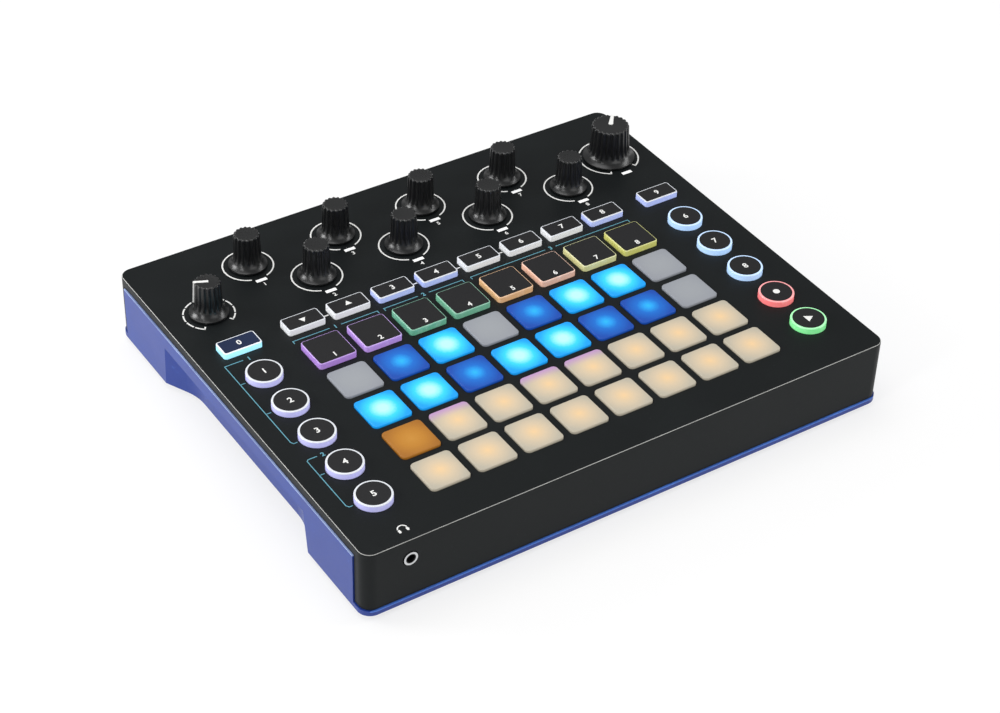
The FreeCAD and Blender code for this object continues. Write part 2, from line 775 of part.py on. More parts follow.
def make_power_socket():
    """The power inlet with its centre pin."""
    jack = rear_jack(power_x, power_width, power_depth, power_height, power_nose_radius,
                     power_bore_radius, power_reach)
    pin = rod_y(power_x, socket_axis_height, power_pin_radius, cover_depth / 2 - power_reach - over,
                cover_depth / 2 - over)
    return joined([jack, pin])


def make_usb_socket():
    """The square USB socket: metal shell, tongue and solid back."""
    rear = cover_depth / 2
    half = usb_width / 2
    z = socket_axis_height
    shell = block(usb_x - half, usb_x + half, rear - usb_depth, rear, main_board_top, z + half)
    mouth = block(usb_x - usb_opening_width / 2, usb_x + usb_opening_width / 2, rear - usb_reach, rear + over,
                  z - usb_opening_height / 2, z + usb_opening_height / 2)
    tongue = block(usb_x - usb_tongue_width / 2, usb_x + usb_tongue_width / 2, rear - usb_reach - over,
                   rear - over, z - usb_tongue_height / 2, z + usb_tongue_height / 2)
    return joined([shell.cut(mouth), tongue])


def make_power_button():
    """The cap of the power button, pressed in from behind."""
    half = switch_size / 2
    return block(switch_x - half, switch_x + half, switch_floor() + switch_travel + switch_room,
                 cover_depth / 2 + switch_proud,
                 socket_axis_height - half, socket_axis_height + half)


def make_battery_contacts():
    """A contact plate with a dimple at both ends of each row of cells."""
    plates = []
    half = contact_size / 2
    for i in range(cell_rows):
        y = bay_middle_y + (i - (cell_rows - 1) / 2) * (2 * cell_radius + cell_room)
        for side in (-1, 1):
            wall = side * bay_length / 2
            face = wall - side * contact_thickness
            tip = face - side * contact_dimple
            plate = block(min(wall, face), max(wall, face), y - half, y + half,
                          cell_axis - half, cell_axis + half)
            dimple = rod_x(y, cell_axis, half / 2, min(face, tip), max(face, tip))
            plates.append(joined([plate, dimple]))
    return plates


def make_speaker():
    """The loudspeaker: a basket with its magnet, and the cone."""
    x, y = speaker_x, speaker_y
    flange_top = floor_top + speaker_flange
    basket_top = flange_top + speaker_basket
    flange = disc(x, y, speaker_radius, floor_top, flange_top)
    basket = Part.makeCone(speaker_radius - speaker_rim, speaker_magnet_radius, speaker_basket,
                           Vector(x, y, flange_top), UP)
    magnet = disc(x, y, speaker_magnet_radius, basket_top, basket_top + speaker_magnet)
    inner_base = speaker_radius - speaker_ring_width
    inner_top = speaker_magnet_radius - speaker_ring_width
    hollow = Part.makeCone(inner_base, inner_top, basket_top - speaker_roof - floor_top,
                           Vector(x, y, floor_top), UP)
    basket = joined([flange, basket, magnet]).cut(hollow)
    level = floor_top + speaker_flange
    cone = Part.makeCone(inner_base - speaker_cone_gap, inner_top - 2 * speaker_cone_gap,
                         speaker_basket - 2 * speaker_roof, Vector(x, y, level), UP)
    inner_cone = cone.copy()
    inner_cone.translate(Vector(0, 0, -speaker_cone))
    return [basket, cone.cut(inner_cone)]


def screw(x, y, base, head_radius, head, radius, length, way):
    """A pan-head screw from its head's seat; way is 1 where the shank points up."""
    if way > 0:
        return joined([disc(x, y, head_radius, base - head, base), disc(x, y, radius, base, base + length)])
    return joined([disc(x, y, head_radius, base, base + head), disc(x, y, radius, base - length, base)])


def make_screws():
    """Case screws from below, and the screws of the two boards."""
    seat = tub_bottom + counterbore_depth
    screws = [screw(x, y, seat, case_screw_head_radius, case_screw_head, case_screw_radius,
                    case_screw_length, 1) for x, y in case_posts]
    screws += [screw(x, y, control_board_bottom, board_screw_head_radius, board_screw_head,
                     board_screw_radius, board_screw_length, 1) for x, y in board_posts]
    screws += [screw(x, y, main_board_top, board_screw_head_radius, board_screw_head, board_screw_radius,
                     board_thickness + main_board_lift, -1) for x, y in main_screws]
    return screws


os.makedirs("parts", exist_ok=True)

save("top_cover", make_cover())
save("bottom_case", make_tub())
save("rubber_feet", [disc(x, y, foot_radius, 0, tub_bottom + foot_recess) for x, y in feet])
save("control_board", make_control_board())
save("keypad_mat", make_mat())
save("main_board", make_main_board())
save("encoders_and_pots", [turning_body(x, y) for x, y in macro_places + [volume_place, filter_place]])
save("light_guides", [light_window(x, y, offset) for x, y, offset in window_places()])
save("headphone_socket", make_headphone_socket())
save("line_out_sockets", [rear_jack(line_out_x + i * line_out_pitch, line_out_width, line_out_depth,
                                    line_out_height, line_out_nose_radius, large_jack_radius,
                                    large_jack_length) for i in range(2)])
save("note_sockets", [rear_jack(note_socket_x + i * note_socket_pitch, note_socket_width,
                                note_socket_depth, note_socket_height, note_nose_radius,
                                small_jack_radius, small_jack_length) for i in range(2)])
save("usb_socket", make_usb_socket())
save("power_socket", make_power_socket())
save("power_button", make_power_button())
save("speaker", make_speaker())
save("battery_contacts", make_battery_contacts())
save("battery_door", make_door())
save("screws", make_screws())

for row, y in enumerate(pad_row_y):
    save("pad_row_%d" % (row + 1), [square_cap(x, y, pad_width, pad_depth, pad_corner, pad_rise, pad_travel)
                                    for x in column_x])
for column, x in enumerate(column_x):
    save("track_button_%d" % (column + 1),
         square_cap(x, track_row_y, track_width, track_depth, track_corner, button_rise, button_travel))
    save("option_button_%d" % (column + 1),
         square_cap(x, oblong_row_y, oblong_width, oblong_depth, oblong_corner, button_rise, button_travel))
for name, side in (("left", -1), ("right", 1)):
    save(name + "_option_button", square_cap(side * side_column_x, oblong_row_y, oblong_width, oblong_depth,
                                             oblong_corner, button_rise, button_travel))
for i, y in enumerate(round_y):
    save("left_round_button_%d" % (i + 1), round_cap(-side_column_x, y))
    save("right_round_button_%d" % (i + 1), round_cap(side_column_x, y))

for i, (x, y) in enumerate(macro_places):
    save("macro_knob_%d" % (i + 1), fluted_knob(x, y, macro_top_radius, macro_base_radius,
                                                macro_skirt_radius, macro_height, macro_flutes))
save("volume_knob", fluted_knob(*volume_place, macro_top_radius, macro_base_radius,
                                macro_skirt_radius, macro_height, macro_flutes))
save("filter_knob", fluted_knob(*filter_place, filter_top_radius, filter_base_radius,
                                filter_skirt_radius, filter_height, filter_flutes))
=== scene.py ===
"""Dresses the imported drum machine: pads, keys, knobs, panel print, finishes, light and camera."""

import logging
import math
from dataclasses import dataclass, replace
from enum import Enum
from functools import reduce
from operator import add
from typing import Any, Mapping, Sequence

import bmesh
import bpy
import numpy as np
from mathutils import Matrix, Vector


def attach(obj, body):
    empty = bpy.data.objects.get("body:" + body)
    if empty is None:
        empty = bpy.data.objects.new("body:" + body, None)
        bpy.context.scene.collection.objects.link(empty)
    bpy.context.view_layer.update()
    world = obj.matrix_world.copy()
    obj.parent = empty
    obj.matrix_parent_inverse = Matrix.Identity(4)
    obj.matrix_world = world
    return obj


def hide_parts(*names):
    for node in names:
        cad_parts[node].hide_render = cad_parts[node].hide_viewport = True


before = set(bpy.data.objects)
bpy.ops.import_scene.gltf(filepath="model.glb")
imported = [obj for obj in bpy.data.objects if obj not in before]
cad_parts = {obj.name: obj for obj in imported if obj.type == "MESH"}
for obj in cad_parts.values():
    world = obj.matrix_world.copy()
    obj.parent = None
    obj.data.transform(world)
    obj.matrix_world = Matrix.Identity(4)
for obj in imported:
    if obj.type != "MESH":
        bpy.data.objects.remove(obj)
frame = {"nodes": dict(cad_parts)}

log = logging.getLogger("drum_machine")

Colour = tuple[float, float, float, float]
Place = tuple[float, float]
Point = tuple[float, float, float]
Material = bpy.types.Material

MM = 0.001
TURN = 2.0 * math.pi

# Levels and places that the frame fixes, in millimetres
PANEL_TOP = 32.0
CAP_FOOT = 29.9
PITCH = 20.6
COLUMN_X = tuple(PITCH * (column - 3.5) for column in range(8))
SIDE_X = 100.5
TRACK_Y = 9.4
OBLONG_Y = TRACK_Y + PITCH
PAD_ROW_Y = tuple(TRACK_Y - PITCH * row for row in range(1, 5))
ROUND_Y = (TRACK_Y, *PAD_ROW_Y)
NEAR_KNOB_Y = 55.2
FAR_KNOB_Y = NEAR_KNOB_Y + PITCH
MACRO_PLACES = tuple(zip(COLUMN_X, (FAR_KNOB_Y, NEAR_KNOB_Y) * 4))
VOLUME_PLACE = (-SIDE_X, NEAR_KNOB_Y)
FILTER_PLACE = (SIDE_X, (NEAR_KNOB_Y + FAR_KNOB_Y) / 2)

# How far print stands out of its surface and reaches into it, in millimetres
INK_RISE = 0.04
INK_SINK = 0.01


def srgb(red: int, green: int, blue: int) -> Colour:
    """Turns a screen colour of 0 to 255 into the linear colour that a shader takes."""
    part = np.array([red, green, blue]) / 255.0
    return (*np.where(part <= 0.04045, part / 12.92, ((part + 0.055) / 1.055) ** 2.4).tolist(), 1.0)


def dimmed(colour: Sequence[float], share: float) -> Colour:
    """Scales a linear colour by a share."""
    return (colour[0] * share, colour[1] * share, colour[2] * share, 1.0)


def washed(colour: Sequence[float], keep: float, lift: float) -> Colour:
    """Fades a linear colour towards white: keep times the colour, plus lift."""
    return (*(keep * part + lift for part in colour[:3]), 1.0)


# ---- Materials


class Wire:
    """A socket of a material's nodes, on which Python's operators add Math nodes."""

    def __init__(self, tree: "Tree", socket: bpy.types.NodeSocket) -> None:
        """Holds the socket and the tree that it is in."""
        self.tree = tree
        self.socket = socket

    def _math(self, operation: str, first: Any, second: Any = 0.0) -> "Wire":
        """Adds one Math node and gives its result."""
        return self.tree.node("ShaderNodeMath", {"operation": operation}, {0: first, 1: second})

    def __add__(self, other: Any) -> "Wire":
        """Sum."""
        return self._math("ADD", self, other)

    __radd__ = __add__

    def __sub__(self, other: Any) -> "Wire":
        """Difference."""
        return self._math("SUBTRACT", self, other)

    def __rsub__(self, other: Any) -> "Wire":
        """Difference with this socket taken away."""
        return self._math("SUBTRACT", other, self)

    def __mul__(self, other: Any) -> "Wire":
        """Product."""
        return self._math("MULTIPLY", self, other)

    __rmul__ = __mul__

    def __abs__(self) -> "Wire":
        """Size without sign."""
        return self._math("ABSOLUTE", self)

    def largest(self, other: Any) -> "Wire":
        """The larger of the two."""
        return self._math("MAXIMUM", self, other)

    def root(self) -> "Wire":
        """Square root."""
        return self._math("SQRT", self)

    def step(self, low: float, high: float) -> "Wire":
        """Rises smoothly from 0 at low to 1 at high.

        Args:
            low: Value at which the result is 0.
            high: Value at which the result is 1; it may be under low.

        Returns:
            The mask.
        """
        settings = {"interpolation_type": "SMOOTHSTEP"}
        return self.tree.node("ShaderNodeMapRange", settings, {0: self, 1: low, 2: high})


class Tree:
    """One material, with its surface shader and the nodes that feed it."""

    def __init__(self, name: str) -> None:
        """Makes the material with a bare surface shader.

        Args:
            name: Name of the material.
        """
        self.material = bpy.data.materials.new(name)
        self.material.use_nodes = True
        self.nodes = self.material.node_tree.nodes
        self.nodes.clear()
        self.surface = self.nodes.new("ShaderNodeBsdfPrincipled")
        self.output = self.nodes.new("ShaderNodeOutputMaterial")
        self.material.node_tree.links.new(self.surface.outputs[0], self.output.inputs[0])

    def feed(self, socket: bpy.types.NodeSocket, value: Any) -> None:
        """Links a wire to a socket, or sets the socket's own value.

        Args:
            socket: The socket.
            value: A wire, or a plain value.
        """
        if isinstance(value, Wire):
            self.material.node_tree.links.new(value.socket, socket)
        else:
            socket.default_value = value

    def node(
        self,
        kind: str,
        settings: Mapping[str, Any] | None = None,
        inputs: Mapping[Any, Any] | None = None,
        output: int = 0,
    ) -> Wire:
        """Adds a node.

        Args:
            kind: The node's type.
            settings: Its properties, set first; stops holds a ramp's places and colours.
            inputs: Values or wires by socket name or number.
            output: Which of its outputs to give.

        Returns:
            That output.
        """
        made = self.nodes.new(kind)
        for name, value in (settings or {}).items():
            if name == "stops":
                ramp = made.color_ramp
                while len(ramp.elements) < len(value):
                    ramp.elements.new(0.5)
                for element, (place, colour) in zip(ramp.elements, value):
                    element.position = place
                    element.color = colour
            else:
                setattr(made, name, value)
        for name, value in (inputs or {}).items():
            self.feed(made.inputs[name], value)
        return Wire(self, made.outputs[output])

    def shader(self, **values: Any) -> None:
        """Sets or links the surface shader's sockets, an underscore standing for a space."""
        for name, value in values.items():
            self.feed(self.surface.inputs[name.replace("_", " ")], value)

    def place(self) -> Wire:
        """Object coordinates, in metres."""
        return self.node("ShaderNodeTexCoord", output=3)

    def axes(self) -> tuple[Wire, Wire, Wire]:
        """Object coordinates as three numbers in millimetres."""
        split = self.node("ShaderNodeSeparateXYZ", inputs={0: self.place()}).socket.node
        return tuple(Wire(self, part) * 1000.0 for part in split.outputs)

    def noise(self, size_mm: float, detail: float = 3.0, rough: float = 0.55) -> Wire:
        """Noise in Object coordinates.

        Args:
            size_mm: About how wide a spot is.
            detail: How many finer layers it has.
            rough: How strong the finer layers are.

        Returns:
            The noise, round 0.5.
        """
        inputs = {
            "Vector": self.place(),
            "Scale": 1.0 / (size_mm * MM),
            "Detail": detail,
            "Roughness": rough,
        }
        return self.node("ShaderNodeTexNoise", inputs=inputs)

    def blend(self, share: Any, first: Any, second: Any, kind: str = "MIX") -> Wire:
        """Mixes two colours, the second by its share, or multiplies them."""
        settings = {"data_type": "RGBA", "blend_type": kind}
        return self.node("ShaderNodeMix", settings, {0: share, 6: first, 7: second}, output=2)

    def bump(self, height: Wire, depth_mm: float) -> Wire:
        """A normal from a height of 0 to 1 that stands for depth_mm."""
        inputs = {"Strength": 1.0, "Distance": depth_mm * MM, "Height": height}
        return self.node("ShaderNodeBump", inputs=inputs)


@dataclass(frozen=True)
class Moulded:
    """Moulded or coated plastic with a fine grain, faint mottling and rubbed spots."""

    name: str
    colour: Colour
    rubbed: Colour
    roughness: float = 0.45
    grain_mm: float = 0.35
    grain_depth_mm: float = 0.012
    gloss: float = 0.4

    def build(self) -> Material:
        """Makes the material.

        Returns:
            The material.
        """
        tree = Tree(self.name)
        grain = tree.noise(self.grain_mm, 2.0)
        cloud = tree.noise(26.0, 4.0)
        worn = tree.noise(5.0, 5.0, 0.7).step(0.6, 0.78) * 0.25
        tree.shader(
            Base_Color=tree.blend(worn + (cloud - 0.5) * 0.3, self.colour, self.rubbed),
            Roughness=(cloud - 0.5) * 0.16 + (grain - 0.5) * 0.1 + self.roughness,
            Normal=tree.bump(grain, self.grain_depth_mm),
            Specular_IOR_Level=self.gloss,
        )
        return tree.material


@dataclass(frozen=True)
class CoverCoat:
    """Black grained coating of the top cover, with a painted highlight line along its top edge."""

    name: str = "cover_black_coat"
    half_width: float = 119.5
    half_depth: float = 98.8
    corner: float = 5.0
    # Width and fade of the painted highlight line along the top edge, in millimetres.
    line: float = 0.34
    line_fade: float = 0.06

    def build(self) -> Material:
        """Makes the material.

        The distance beyond the cover's outline is |max(|p| - half + corner, 0)| - corner, and the
        painted highlight line is where both this and the height are near their ends.

        Returns:
            The material.
        """
        tree = Tree(self.name)
        east, north, up = tree.axes()
        grain = tree.noise(0.42, 2.0)
        cloud = tree.noise(34.0, 4.0)
        fleck = tree.noise(1.1, 1.0).step(0.66, 0.8)
        across = (abs(east) - (self.half_width - self.corner)).largest(0.0)
        along = (abs(north) - (self.half_depth - self.corner)).largest(0.0)
        outside = (across * across + along * along).root() - self.corner
        # Painted highlight: a thin pale line round the top outer edge, where the rounded edge would
        # catch the light; its strength varies with noise.
        begin, full = -self.line, self.line_fade - self.line
        edge_highlight = outside.step(begin, full) * up.step(PANEL_TOP + begin, PANEL_TOP + full)
        highlight_strength = tree.noise(9.0, 3.0) * 0.4 + 0.33
        tone = tree.blend(fleck * 0.3 + (cloud - 0.5) * 0.4, srgb(21, 24, 25), srgb(38, 44, 45))
        tree.shader(
            Base_Color=tree.blend(edge_highlight * highlight_strength, tone, srgb(226, 226, 222)),
            Roughness=(cloud - 0.5) * 0.2 + (grain - 0.5) * 0.14 + 0.42,
            Normal=tree.bump(grain, 0.012),
            Specular_IOR_Level=0.12,
        )
        return tree.material


@dataclass(frozen=True)
class TubPlastic:
    """Blue plastic of the tub, with painted highlight lines along its front rim and the top of its
    sides.
    """

    name: str
    colour: Colour = srgb(35, 59, 138)
    # pale colours the random worn spots and the painted rim highlight; the next colour is the painted
    # side-top highlight.
    pale: Colour = srgb(84, 132, 226)
    bright: Colour = srgb(176, 196, 238)
    rim_top: float = 4.8
    front: float = -98.6
    side_top: float = 27.6
    side: float = 119.4
    # Depths of the painted highlight lines under the top of the front rim and of the sides.
    line: float = 0.5
    brow: float = 0.42

    def build(self) -> Material:
        """Makes the material.

        Returns:
            The material.
        """
        tree = Tree(self.name)
        east, north, up = tree.axes()
        grain = tree.noise(0.5, 2.0)
        cloud = tree.noise(26.0, 4.0)
        # Painted highlights: pale lines just under the top of the front rim and of the sides, where
        # their edges would catch the light.
        line = up.step(self.rim_top - self.line, self.rim_top - self.line + 0.1)
        line = line * north.step(self.front + 0.2, self.front)
        brow = up.step(self.side_top - self.brow, self.side_top - self.brow + 0.08)
        brow = brow * abs(east).step(self.side - 0.1, self.side)
        worn = tree.noise(5.0, 5.0, 0.7).step(0.6, 0.78) * 0.2 + (cloud - 0.5) * 0.25
        tone = tree.blend(worn.largest(line * (cloud + 0.3)), self.colour, self.pale)
        tree.shader(
            Base_Color=tree.blend(brow * (cloud + 0.15), tone, self.bright),
            Roughness=(cloud - 0.5) * 0.16 + (grain - 0.5) * 0.1 + 0.36,
            Normal=tree.bump(grain, 0.01),
            Specular_IOR_Level=0.35,
        )
        return tree.material


@dataclass(frozen=True)
class LampTone:
    """Colours of a pad over its lamp, half way out and at its edge, and where each is reached."""

    heart: Colour
    middle: Colour
    edge: Colour
    shine: float
    heart_reach: float = 0.4
    middle_reach: float = 4.6
    edge_reach: float = 9.36
    back_tint: Colour | None = None


@dataclass(frozen=True)
class PadGlow:
    """Frosted silicone pad with a lamp under its middle."""

    name: str
    centre: Place
    tone: LampTone
    corner_reach: float = 12.0
    unlit: float = 0.55

    def build(self) -> Material:
        """Makes the material; brightness falls with the distance from the pad's middle.

        Returns:
            The material.
        """
        tone = self.tone
        tree = Tree(self.name)
        east, north, up = tree.axes()
        aside = east - self.centre[0]
        ahead = north - self.centre[1]
        frost = tree.noise(0.9, 3.0)
        reach = (aside * aside + ahead * ahead).root() + (frost - 0.5) * 1.1
        reaches = (tone.heart_reach, tone.middle_reach, tone.edge_reach, self.corner_reach)
        colours = (tone.heart, tone.middle, tone.edge, dimmed(tone.edge, 0.9))
        stops = tuple((far / self.corner_reach, colour) for far, colour in zip(reaches, colours))
        glow = tree.node("ShaderNodeValToRGB", {"stops": stops}, {0: reach * (1.0 / self.corner_reach)})
        if tone.back_tint:
            glow = tree.blend(ahead.step(3.0, 9.0) * 0.75, glow, tone.back_tint)
        # Painted shade: below the panel's top the pad's wall is darkened to half its edge colour, where
        # it sits in the panel's hole.
        above = up.step(PANEL_TOP - 0.2, PANEL_TOP + 0.2)
        lit = tree.blend(above, dimmed(tone.edge, 0.5), glow)
        tree.shader(
            Base_Color=tree.blend(1.0, lit, (self.unlit, self.unlit, self.unlit, 1.0), "MULTIPLY"),
            Emission_Color=lit,
            Emission_Strength=tone.shine,
            Roughness=(frost - 0.5) * 0.2 + 0.5,
            Normal=tree.bump(tree.noise(0.3, 2.0), 0.01),
            Specular_IOR_Level=0.3,
        )
        return tree.material


@dataclass(frozen=True)
class KeyBody:
    """Clear-white key moulding lit from below, stronger towards its foot."""

    name: str
    side: Colour
    rim: Colour
    shine: float = 0.35
    milk: Colour = (0.92, 0.92, 0.95, 1.0)
    rim_from: float = PANEL_TOP + 1.9
    rim_full: float = PANEL_TOP + 2.35

    def build(self) -> Material:
        """Makes the material; the rim's colour takes over near the top.

        Returns:
            The material.
        """
        tree = Tree(self.name)
        up = tree.axes()[2]
        milk = tree.noise(2.2, 3.0)
        tone = tree.blend(up.step(self.rim_from, self.rim_full), self.side, self.rim)
        tone = tree.blend((milk - 0.5) * 0.5, tone, self.milk)
        tree.shader(
            Base_Color=tone,
            Emission_Color=tone,
            Emission_Strength=self.shine,
            Roughness=(milk - 0.5) * 0.2 + 0.36,
            Normal=tree.bump(tree.noise(0.35, 2.0), 0.006),
        )
        return tree.material


@dataclass(frozen=True)
class PrintInk:
    """Screen-printed ink, a little uneven in cover."""

    name: str
    colour: Colour
    roughness: float = 0.5
    # shine is the ink's emission; on print with no lamp behind it this is painted glow.
    shine: float = 0.0

    def build(self) -> Material:
        """Makes the material.

        Returns:
            The material.
        """
        tree = Tree(self.name)
        cover = tree.noise(0.6, 3.0)
        tree.shader(
            Base_Color=tree.blend((cover - 0.5) * 0.4, self.colour, dimmed(self.colour, 0.7)),
            Roughness=(cover - 0.5) * 0.2 + self.roughness,
            Normal=tree.bump(cover, 0.004),
            Specular_IOR_Level=0.3,
            Emission_Color=self.colour,
            Emission_Strength=self.shine,
        )
        return tree.material


@dataclass(frozen=True)
class BareMetal:
    """Plated or rolled metal with fine scratches."""

    name: str
    colour: Colour
    roughness: float = 0.22

    def build(self) -> Material:
        """Makes the material.

        Returns:
            The material.
        """
        tree = Tree(self.name)
        scratch = tree.noise(0.5, 5.0, 0.7)
        tree.shader(
            Base_Color=tree.blend((scratch - 0.5) * 0.4, self.colour, dimmed(self.colour, 0.6)),
            Metallic=1.0,
            Roughness=(scratch - 0.5) * 0.25 + self.roughness,
            Normal=tree.bump(scratch, 0.004),
        )
        return tree.material


@dataclass(frozen=True)
class HeadphoneBush:
    """The headphone socket's black body, with a plated ring round its bore in the front apron."""

    name: str = "headphone_bush"
    centre_x: float = -SIDE_X
    centre_z: float = 23.1
    ring_radius: float = 2.9
    bore_radius: float = 2.15
    front: float = -98.8

    def build(self) -> Material:
        """Makes the material; metal is near the axis, outside the bore and at the front.

        Returns:
            The material.
        """
        tree = Tree(self.name)
        east, north, up = tree.axes()
        aside, above = east - self.centre_x, up - self.centre_z
        apart = (aside * aside + above * above).root()
        ring = apart.step(self.ring_radius + 0.25, self.ring_radius + 0.15)
        bored = apart.step(self.bore_radius - 0.1, self.bore_radius)
        plated = ring * bored * north.step(self.front + 0.05, self.front)
        scratch = tree.noise(0.5, 5.0)
        tree.shader(
            Base_Color=tree.blend(plated, srgb(16, 16, 17), srgb(205, 206, 208)),
            Metallic=plated,
            Roughness=plated * -0.3 + scratch * 0.2 + 0.4,
            Normal=tree.bump(scratch, 0.004),
        )
        return tree.material


# ---- Shapes


@dataclass(frozen=True)
class Shape:
    """Points in millimetres, and the faces between them."""

    points: np.ndarray
    faces: list[tuple[int, ...]]

    def __add__(self, other: "Shape") -> "Shape":
        """Both shapes as one, still apart."""
        faces = [tuple(corner + len(self.points) for corner in face) for face in other.faces]
        return Shape(np.vstack([self.points, other.points]), self.faces + faces)

    def moved(self, x: float = 0.0, y: float = 0.0, z: float = 0.0) -> "Shape":
        """The shape shifted by x, y and z."""
        return Shape(self.points + np.array([x, y, z]), self.faces)

    def turned(self, degrees: float) -> "Shape":
        """Turns the shape about the Z axis: (x cos a - y sin a, x sin a + y cos a).

        Args:
            degrees: The angle.

        Returns:
            The turned shape.
        """
        cosine, sine = math.cos(math.radians(degrees)), math.sin(math.radians(degrees))
        turn = np.array([[cosine, -sine, 0], [sine, cosine, 0], [0, 0, 1]])
        return Shape(self.points @ turn.T, self.faces)

    def mesh(self, name: str, material: Material) -> bpy.types.Mesh:
        """Turns the shape into a mesh, in metres.

        Args:
            name: Name of the mesh.
            material: Its finish.

        Returns:
            The mesh.
        """
        made = bpy.data.meshes.new(name)
        made.from_pydata(self.points * MM, [], self.faces)
        made.materials.append(material)
        return made


def stand(name: str, data: bpy.types.ID) -> bpy.types.Object:
    """Puts data into the scene as an object.

    Args:
        name: Name of the object.
        data: Its mesh, lamp, camera or curve.

    Returns:
        The object.
    """
    made = bpy.data.objects.new(name, data)
    bpy.context.scene.collection.objects.link(made)
    return made


def polar(radius: float, angles: np.ndarray) -> np.ndarray:
    """Points at radius (cos a, sin a)."""
    return radius * np.stack([np.cos(angles), np.sin(angles)], axis=-1)


def at_level(outline: np.ndarray, level: float) -> np.ndarray:
    """Flat points lifted to a level."""
    return np.column_stack([outline, np.full(len(outline), level)])


def loft(rings: np.ndarray) -> Shape:
    """Skins rings of points and closes both ends.

    Point j of ring i is joined to point j + 1 and to ring i + 1. Rings turn right-handed about the
    way they are stacked, so the faces point outwards.

    Args:
        rings: Array of rings by points by three.

    Returns:
        The closed shape.
    """
    count, around = rings.shape[:2]
    start = (np.arange(count - 1)[:, None] * around + np.arange(around)[None, :]).ravel()
    step = (np.arange(count - 1)[:, None] * around + (np.arange(around)[None, :] + 1) % around).ravel()
    quads = np.stack([start, step, step + around, start + around], axis=1)
    faces = [tuple(face) for face in quads.tolist()]
    faces.append(tuple(range(around - 1, -1, -1)))
    faces.append(tuple(range((count - 1) * around, count * around)))
    return Shape(rings.reshape(-1, 3), faces)


class Outline:
    """A closed outline that can be drawn in."""

    def ring(self, inset: float) -> np.ndarray:
        """Points of the outline drawn in by inset, anticlockwise."""
        raise NotImplementedError

    def reach(self) -> float:
        """The most that it can be drawn in."""
        raise NotImplementedError


@dataclass(frozen=True)
class RoundedBox(Outline):
    """Rectangle with round corners: each corner is its centre + corner (cos a, sin a)."""

    width: float
    depth: float
    corner: float
    steps: int = 7

    def ring(self, inset: float) -> np.ndarray:
        """Points of the rectangle.

        Args:
            inset: How far it is drawn in.

        Returns:
            The points, anticlockwise.
        """
        corner = max(self.corner - inset, 0.02)
        quarter = np.linspace(0, math.pi / 2, self.steps + 1)
        angles = quarter[None, :] + np.arange(4)[:, None] * math.pi / 2
        signs = np.array([(1, 1), (-1, 1), (-1, -1), (1, -1)])
        middles = signs * np.array([self.width / 2 - inset - corner, self.depth / 2 - inset - corner])
        return (middles[:, None, :] + polar(corner, angles)).reshape(-1, 2)

    def reach(self) -> float:
        """The most that it can be drawn in."""
        return min(self.width, self.depth) / 2 - 0.1


@dataclass(frozen=True)
class Disc(Outline):
    """Circle: radius (cos a, sin a)."""

    radius: float
    steps: int = 96

    def ring(self, inset: float) -> np.ndarray:
        """Points of the circle drawn in by inset."""
        return polar(self.radius - inset, np.arange(self.steps) * TURN / self.steps)

    def reach(self) -> float:
        """The most that it can be drawn in."""
        return self.radius - 0.1


def soft_slab(outline: Outline, bottom: float, top: float, edge: float, crown: float = 0.0) -> Shape:
    """A slab with a rounded top edge and a crowned top.

    The wall stands straight to top - edge. The edge is a quarter circle: drawn in by
    edge (1 - cos a) at the height top - edge + edge sin a. The top rises by crown (1 - (1 - s)^2)
    while it is drawn in by the share s of its reach. A negative crown makes a dish.

    Args:
        outline: The slab's outline.
        bottom: Lowest level.
        top: Level at the inner side of the rounded edge.
        edge: Radius of the top edge.
        crown: How much higher the middle is.

    Returns:
        The closed shape.
    """
    angles = np.linspace(0, math.pi / 2, 7)
    share = np.linspace(0, 1, 8)[1:]
    inset = np.concatenate([[0.0], edge * (1 - np.cos(angles)), edge + share * (outline.reach() - edge)])
    edge_level = top - edge + edge * np.sin(angles)
    level = np.concatenate([[bottom], edge_level, top + crown * (1 - (1 - share) ** 2)])
    return loft(np.array([at_level(outline.ring(drawn), z) for drawn, z in zip(inset, level)]))


def plate(outline: np.ndarray, bottom: float, top: float) -> Shape:
    """A flat plate between two levels over an anticlockwise outline of points."""
    return loft(np.array([at_level(outline, bottom), at_level(outline, top)]))


def band(path: np.ndarray, width: float | np.ndarray, bottom: float, top: float) -> Shape:
    """A flat line of print along a path.

    Each corner's offset is the mean of its two sides' normals n, lengthened to width / 2 / (n . side
    normal), so the line keeps its width round a bend.

    Args:
        path: Points by two.
        width: Width of the line, one or one per point.
        bottom: Lower level.
        top: Upper level.

    Returns:
        The closed shape.
    """
    along = np.diff(path, axis=0)
    along = along / np.linalg.norm(along, axis=1)[:, None]
    side = np.stack([-along[:, 1], along[:, 0]], axis=1)
    before = np.vstack([side[:1], side])
    after = np.vstack([side, side[-1:]])
    mean = before + after
    mean = mean / np.linalg.norm(mean, axis=1)[:, None]
    half = np.asarray(width) / 2 / np.sum(mean * after, axis=1)
    left, right = path + mean * half[:, None], path - mean * half[:, None]
    edges = ((left, bottom), (left, top), (right, top), (right, bottom))
    return loft(np.stack([at_level(points, level) for points, level in edges], axis=1))


def arc(radius: float, first: float, last: float, centre: Place) -> np.ndarray:
    """Points of an arc from first to last, in degrees, one about every third degree."""
    angles = np.radians(np.linspace(first, last, max(3, int(abs(last - first) / 3)) + 1))
    return np.array(centre) + polar(radius, angles)


